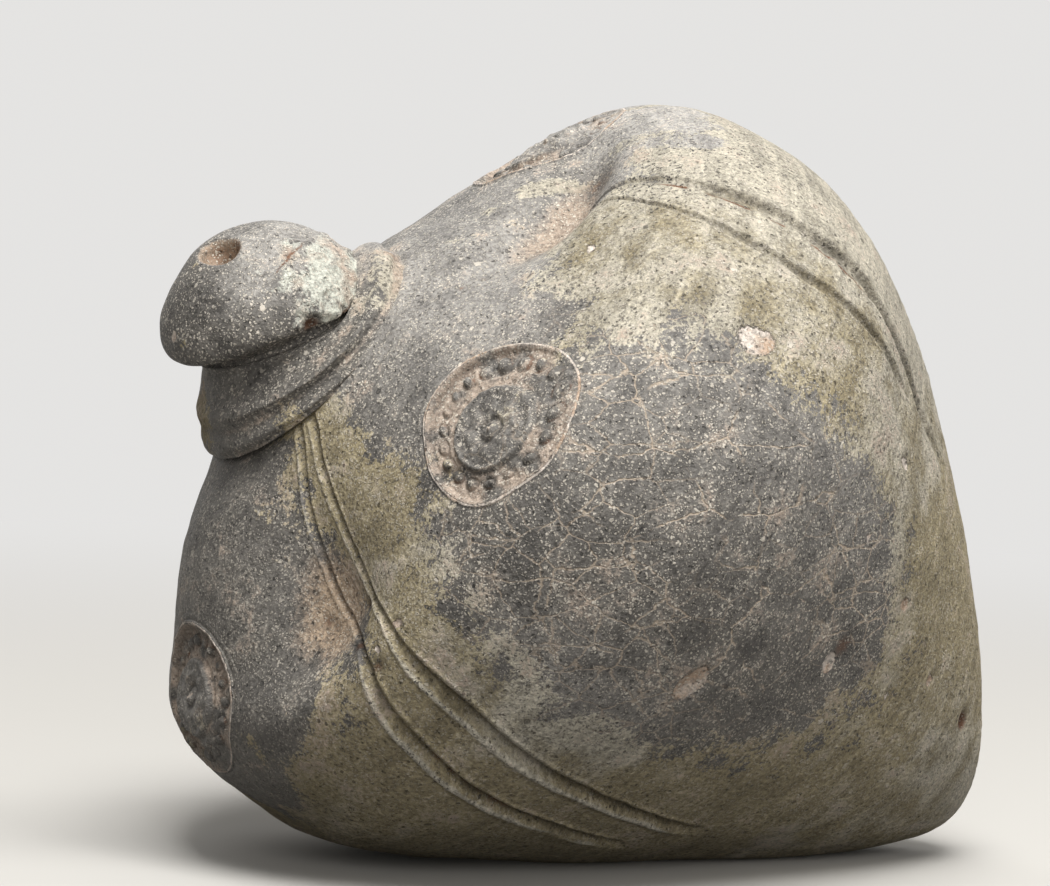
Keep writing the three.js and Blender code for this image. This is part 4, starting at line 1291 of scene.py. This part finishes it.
class FLASK_OT_knob(bpy.types.Operator):
    """Makes the domed mouth knob: its overhanging rim, its crusted side and its worn, narrow hole."""
    bl_idname = "flask.knob"
    bl_label = "Mouth knob"

    def execute(self, context):
        body = Body()
        size = context.scene.flask_neck
        clay = bpy.data.materials["fired_clay_neck"]
        turn = np.linspace(-180, 180, NECK_COLUMNS, endpoint=False)[None, :]
        section = self.section(size)
        outer = turned(section[:, :1], turn, section[:, 1:])
        radius = np.hypot(outer[..., 0], outer[..., 1]) / MM
        height = outer[..., 2] / MM
        fields = self.marks(turn, radius, height, outer)
        outer = self.worn(size, self.mouth_aside(size, section, outer), turn, radius, height, fields)
        bore = self.bore(outer[-1], np.array([0, 0, section[0, 1]]))
        seat = leaned(np.array([size.knob_offset, 0, size.knob_height]), size.collar_lean, 0,
                      np.array([body.bowed(body.seat), 0, body.seat]))
        rings = np.concatenate([outer, bore]) + [0, 0, size.luting]
        rings = leaned(rings, size.knob_lean, size.knob_front_lean, seat)
        make_piece("mouth_knob_clay", body.lie_down(rings), with_inside(fields, BORE_ROWS), True,
                   "mouth_knob", clay)
        return {"FINISHED"}

    @staticmethod
    def section(size):
        """Section of the knob's outside: stem, undercut rim, dome and the flared edge of the mouth."""
        rim = size.stem_height
        crown = rim + size.dome_height
        middle = rim + size.dome_height / 2
        mouth = size.bore_radius + size.mouth_flare
        stem = (size.stem_radius, 0.2 * MM)
        under = (size.rim_radius - 1.7 * size.rim_rounding, rim - 0.5 * size.rim_rounding)
        lip = (size.rim_radius, rim - 0.4 * size.rim_rounding)
        edge = (size.rim_radius, rim + size.rim_rounding)
        top = (mouth, crown)
        hole = (size.bore_radius, crown - 1.4 * size.mouth_flare)
        path = np.concatenate([
            [(size.stem_radius, -size.luting)],
            bent(stem, (size.stem_radius, under[1]), under),
            bent(under, lip, edge)[1:],
            bent_twice(edge, (size.rim_radius, middle), (size.rim_radius / 2, crown), top)[1:],
            bent(top, (size.bore_radius, crown), hole)[1:],
        ])
        return spaced(path, KNOB_ROWS)

    @staticmethod
    def mouth_aside(size, section, places):
        """The dome with its mouth slid aside and worn to an oval: places move by a share that falls
        from the mouth to the rim, and take the height that the dome has where they come to lie."""
        widest = int(np.argmax(section[:, 0]))
        mouth = size.bore_radius + size.mouth_flare
        dome = section[widest:][section[widest:, 0] >= mouth][::-1]
        radius = np.hypot(places[..., 0], places[..., 1])
        share = 1 - smooth_step(radius, mouth, 0.9 * size.rim_radius)
        share[:widest] = 0
        moved = places.copy()
        moved[..., 0] *= 1 + (MOUTH_OVAL[0] - 1) * share
        moved[..., 1] *= 1 + (MOUTH_OVAL[1] - 1) * share
        moved[..., 0] -= size.mouth_aside * share
        moved[..., 1] -= size.mouth_front * share
        now = np.interp(np.hypot(moved[..., 0], moved[..., 1]), dome[:, 0], dome[:, 1])
        moved[..., 2] += np.where(share > 0, now - np.interp(radius, dome[:, 0], dome[:, 1]), 0)
        return moved

    @staticmethod
    def bore(edge, foot):
        """Rings of the mouth's hole from its worn edge down to the knob's foot: the edge narrows in
        a funnel while its middle moves to the foot's middle, by squared steps that are closest at
        the top."""
        down = np.linspace(0, 1, BORE_ROWS + 1)[1:, None, None] ** 2
        middle = edge.mean(axis=0)
        funnel = smooth_step(down, 0, 0.22)
        rings = middle + down * (foot - middle) + (1 - 0.42 * funnel) * (edge - middle)
        rings[-1, :, 2] = foot[2]
        return rings

    @staticmethod
    def marks(turn, radius, height, places):
        """Fields that the knob is painted by: the crusted side with a crack over it and a rusty edge
        under it, a broken notch, soil in the mouth and under the rim, painted shade in the mouth's front,
        and one pale spot."""
        middle, level, half_width, half_height = CRUST_PATCH
        across = np.abs(turn_apart(turn, middle)) / half_width
        up = np.abs(height - level) / half_height
        crust = 0.8 - np.cbrt(across ** 3 + up ** 3) + 0.2 * waves(places, 4 * MM, 87)
        edge = bell(height - 1.5, 0.5) * bell(turn_apart(turn, -40), 34)
        off_crack = height - through(CRUST_CRACK, turn) - 0.12 * waves(places, 2 * MM, 88)
        shown = smooth_step(turn, *CRACK_STARTS) * (1 - smooth_step(turn, *CRACK_ENDS))
        crack = bell(off_crack, 0.13) * shown
        notch = bell(turn_apart(turn, -85), 5) * bell(height - 2.1, 0.9)
        mouth = (1 - smooth_step(radius, 2.6, 3.4)) * (height > MOUTH_ABOVE)
        # Painted shade inside the front of the mouth
        shadowed = smooth_step(-np.sin(np.radians(turn)), -0.2, 0.8)
        spot = bell(np.hypot(turn_apart(turn, -173) / 4, height - 5), 0.6)
        return {
            "patina": np.clip(-0.45 + 0.25 * waves(places, 9 * MM, 81), -1, 1) * np.ones_like(height),
            "chalk_and_painted_light": np.clip(0.85 * smooth_step(height, 2, 10) + 0.5 * crust, 0, 1),
            "soil": np.clip(0.8 * mouth + 0.2 * (1 - smooth_step(height, 0.2, 1.3)), 0, 1),
            "warm": 0.6 * mouth,
            "spall": np.clip(1.5 * spot, 0, 1),
            "crust": np.clip(crust, -1, 1),
            "rust": np.clip(0.9 * edge + 0.7 * crack + 0.8 * notch + 0.35 * mouth, 0, 1),
            "dark": np.clip(0.35 * crack + notch + 0.6 * mouth * shadowed, 0, 1),
        }

    @staticmethod
    def worn(size, places, turn, radius, height, fields):
        """The knob with its wear: a rough crust standing a little proud, its edge hanging lower on
        that side and higher in front, a broken notch, and a stem that sits off the middle."""
        crust = smooth_step(fields["crust"], 0, 0.2)
        rough = 0.13 * waves(places, 2.4 * MM, 83) + 0.09 * waves(places, 1.1 * MM, 84)
        out = crust * (0.2 + rough) - 1.1 * fields["dark"] * (height < MOUTH_ABOVE)
        out += 0.12 * waves(places, 10 * MM, 85) + 0.035 * waves(places, 3 * MM, 86)
        low = 1 - smooth_step(height, 1.2, 4.5)
        sag = sum(rise * bell(turn_apart(turn, middle), half) for rise, middle, half in KNOB_EDGE)
        out += 0.6 * low * bell(turn_apart(turn, -22), 30)
        places = places + (out * smooth_step(radius, 3, 6))[..., None] * turned(1.0, turn, 0.0) * MM
        places[..., 2] += sag * low * smooth_step(radius, 9.6, 11) * MM
        stem = (1 - smooth_step(height, 0.2, 1.0)) * (height < MOUTH_ABOVE)
        places[..., 0] += size.stem_aside * stem
        return places


class FLASK_OT_stage(bpy.types.Operator):
    """Makes the pale floor, the soft studio light and the camera at the photograph's angle."""
    bl_idname = "flask.stage"
    bl_label = "Stage"

    floor_radius: length("Floor radius", "Half-width of the round floor", 3000)

    def execute(self, context):
        scene = context.scene
        scene.view_settings.view_transform = "Standard"
        self.floor(scene)
        self.world(scene)
        for lamp in LAMPS:
            self.lamp(scene, *lamp)
        self.camera(scene)
        return {"FINISHED"}

    def floor(self, scene):
        """A round floor. Its colour is pale to the camera and darker to light that it gives back,
        and far off it fades into the backdrop."""
        around = np.linspace(0, 360, FLOOR_SIDES, endpoint=False)
        ring = turned(self.floor_radius, around, 0.0)
        mesh = bpy.data.meshes.new("floor")
        mesh.from_pydata(ring.tolist(), [], [list(range(len(ring)))])
        material = bpy.data.materials.new("matt_paper")
        material.use_nodes = True
        tree = material.node_tree
        tree.nodes.clear()
        seen = self.seen(tree)
        colours = scene.flask_colours
        shade = add_node(tree, "ShaderNodeMix", {
            SHARE: seen, BELOW: opaque(colours.floor_bounce), ABOVE: opaque(colours.floor)},
            data_type="RGBA")[MIXED]
        paper = add_node(tree, "ShaderNodeBsdfDiffuse", {"Color": shade})[0]
        backdrop = add_node(tree, "ShaderNodeEmission", {
            "Color": BACKDROP, "Strength": BACKDROP_STRENGTH})[0]
        place = add_node(tree, "ShaderNodeTexCoord")["Object"]
        away = add_node(tree, "ShaderNodeVectorMath", {0: place}, operation="LENGTH")["Value"]
        far = add_node(tree, "ShaderNodeMapRange", {
            "Value": away, "From Min": FLOOR_FADES[0], "From Max": FLOOR_FADES[1]},
            interpolation_type="SMOOTHSTEP")[0]
        faded = add_node(tree, "ShaderNodeMath", {0: far, 1: seen}, operation="MULTIPLY")[0]
        surface = add_node(tree, "ShaderNodeMixShader", {0: faded, 1: paper, 2: backdrop})[0]
        add_node(tree, "ShaderNodeOutputMaterial", {"Surface": surface})
        mesh.materials.append(material)
        floor = bpy.data.objects.new("floor", mesh)
        scene.collection.objects.link(floor)

    @staticmethod
    def seen(tree):
        """1 for what the camera sees, straight or in a gloss or glass, and 0 for other light."""
        path = add_node(tree, "ShaderNodeLightPath")
        seen = path["Is Camera Ray"]
        for ray in ("Is Glossy Ray", "Is Transmission Ray"):
            seen = add_node(tree, "ShaderNodeMath", {0: seen, 1: path[ray]}, operation="MAXIMUM")[0]
        return seen

    def world(self, scene):
        """A dim even light all round, which the camera sees as a pale backdrop."""
        world = bpy.data.worlds.new("studio")
        world.use_nodes = True
        tree = world.node_tree
        tree.nodes.clear()
        strength = add_node(tree, "ShaderNodeMapRange", {
            "Value": self.seen(tree), "To Min": AMBIENT_STRENGTH, "To Max": BACKDROP_STRENGTH})[0]
        light = add_node(tree, "ShaderNodeBackground", {"Color": BACKDROP, "Strength": strength})[0]
        add_node(tree, "ShaderNodeOutputWorld", {"Surface": light})
        scene.world = world

    @staticmethod
    def lamp(scene, name, place, width, power):
        """A square soft light that faces the flask and stays out of the picture."""
        data = bpy.data.lights.new(name, "AREA")
        data.size = width
        data.energy = power
        lamp = bpy.data.objects.new(name, data)
        lamp.location = place
        toward = Vector(LAMPS_FACE) - Vector(place)
        lamp.rotation_euler = toward.to_track_quat("-Z", "Y").to_euler()
        lamp.visible_camera = False
        scene.collection.objects.link(lamp)

    @staticmethod
    def camera(scene):
        """A long lens at the photograph's angle, turned a little about its own line of sight."""
        azimuth, elevation = math.radians(CAMERA_TURN), math.radians(CAMERA_RISE)
        roll = math.radians(CAMERA_ROLL)
        back = Vector((math.sin(azimuth) * math.cos(elevation), -math.cos(azimuth) * math.cos(elevation),
                       math.sin(elevation)))
        level = Vector((math.cos(azimuth), math.sin(azimuth), 0))
        upright = back.cross(level)
        right = level * math.cos(roll) + upright * math.sin(roll)
        up = upright * math.cos(roll) - level * math.sin(roll)
        to_right, to_top = CAMERA_MOVED
        middle = Vector(CAMERA_FACES) * MM + to_right * MM * right + to_top * MM * up
        data = bpy.data.cameras.new("camera")
        data.sensor_width = CAMERA_SENSOR
        data.lens = CAMERA_LENS
        camera = bpy.data.objects.new("camera", data)
        axes = Matrix((right, up, back)).transposed().to_4x4()
        camera.matrix_world = Matrix.Translation(middle + CAMERA_DISTANCE * back) @ axes
        scene.collection.objects.link(camera)
        scene.camera = camera


class FLASK_PT_panel(bpy.types.Panel):
    """Lists the flask's pieces, sizes and colours."""
    bl_idname = "FLASK_PT_panel"
    bl_label = "Flask"
    bl_space_type = "VIEW_3D"
    bl_region_type = "UI"
    bl_category = "Flask"

    def draw(self, context):
        for operator in OPERATORS:
            self.layout.operator(operator.bl_idname)
        for name in GROUPS:
            group = getattr(context.scene, name)
            for field in group.__annotations__:
                self.layout.prop(group, field)


GROUPS = {
    "flask_body": BodySizes,
    "flask_roundels": RoundelSizes,
    "flask_neck": NeckSizes,
    "flask_colours": ClayColours,
}
OPERATORS = (FLASK_OT_body, FLASK_OT_roundels, FLASK_OT_collar, FLASK_OT_knob, FLASK_OT_stage)


def register():
    for name, group in GROUPS.items():
        bpy.utils.register_class(group)
        setattr(bpy.types.Scene, name, bpy.props.PointerProperty(type=group))
    for operator in OPERATORS:
        bpy.utils.register_class(operator)
    bpy.utils.register_class(FLASK_PT_panel)


def unregister():
    bpy.utils.unregister_class(FLASK_PT_panel)
    for operator in OPERATORS:
        bpy.utils.unregister_class(operator)
    for name, group in GROUPS.items():
        delattr(bpy.types.Scene, name)
        bpy.utils.unregister_class(group)


def main():
    register()
    bpy.ops.flask.body()
    bpy.ops.flask.roundels()
    bpy.ops.flask.collar()
    bpy.ops.flask.knob()
    bpy.ops.flask.stage()


if __name__ == "__main__":
    main()
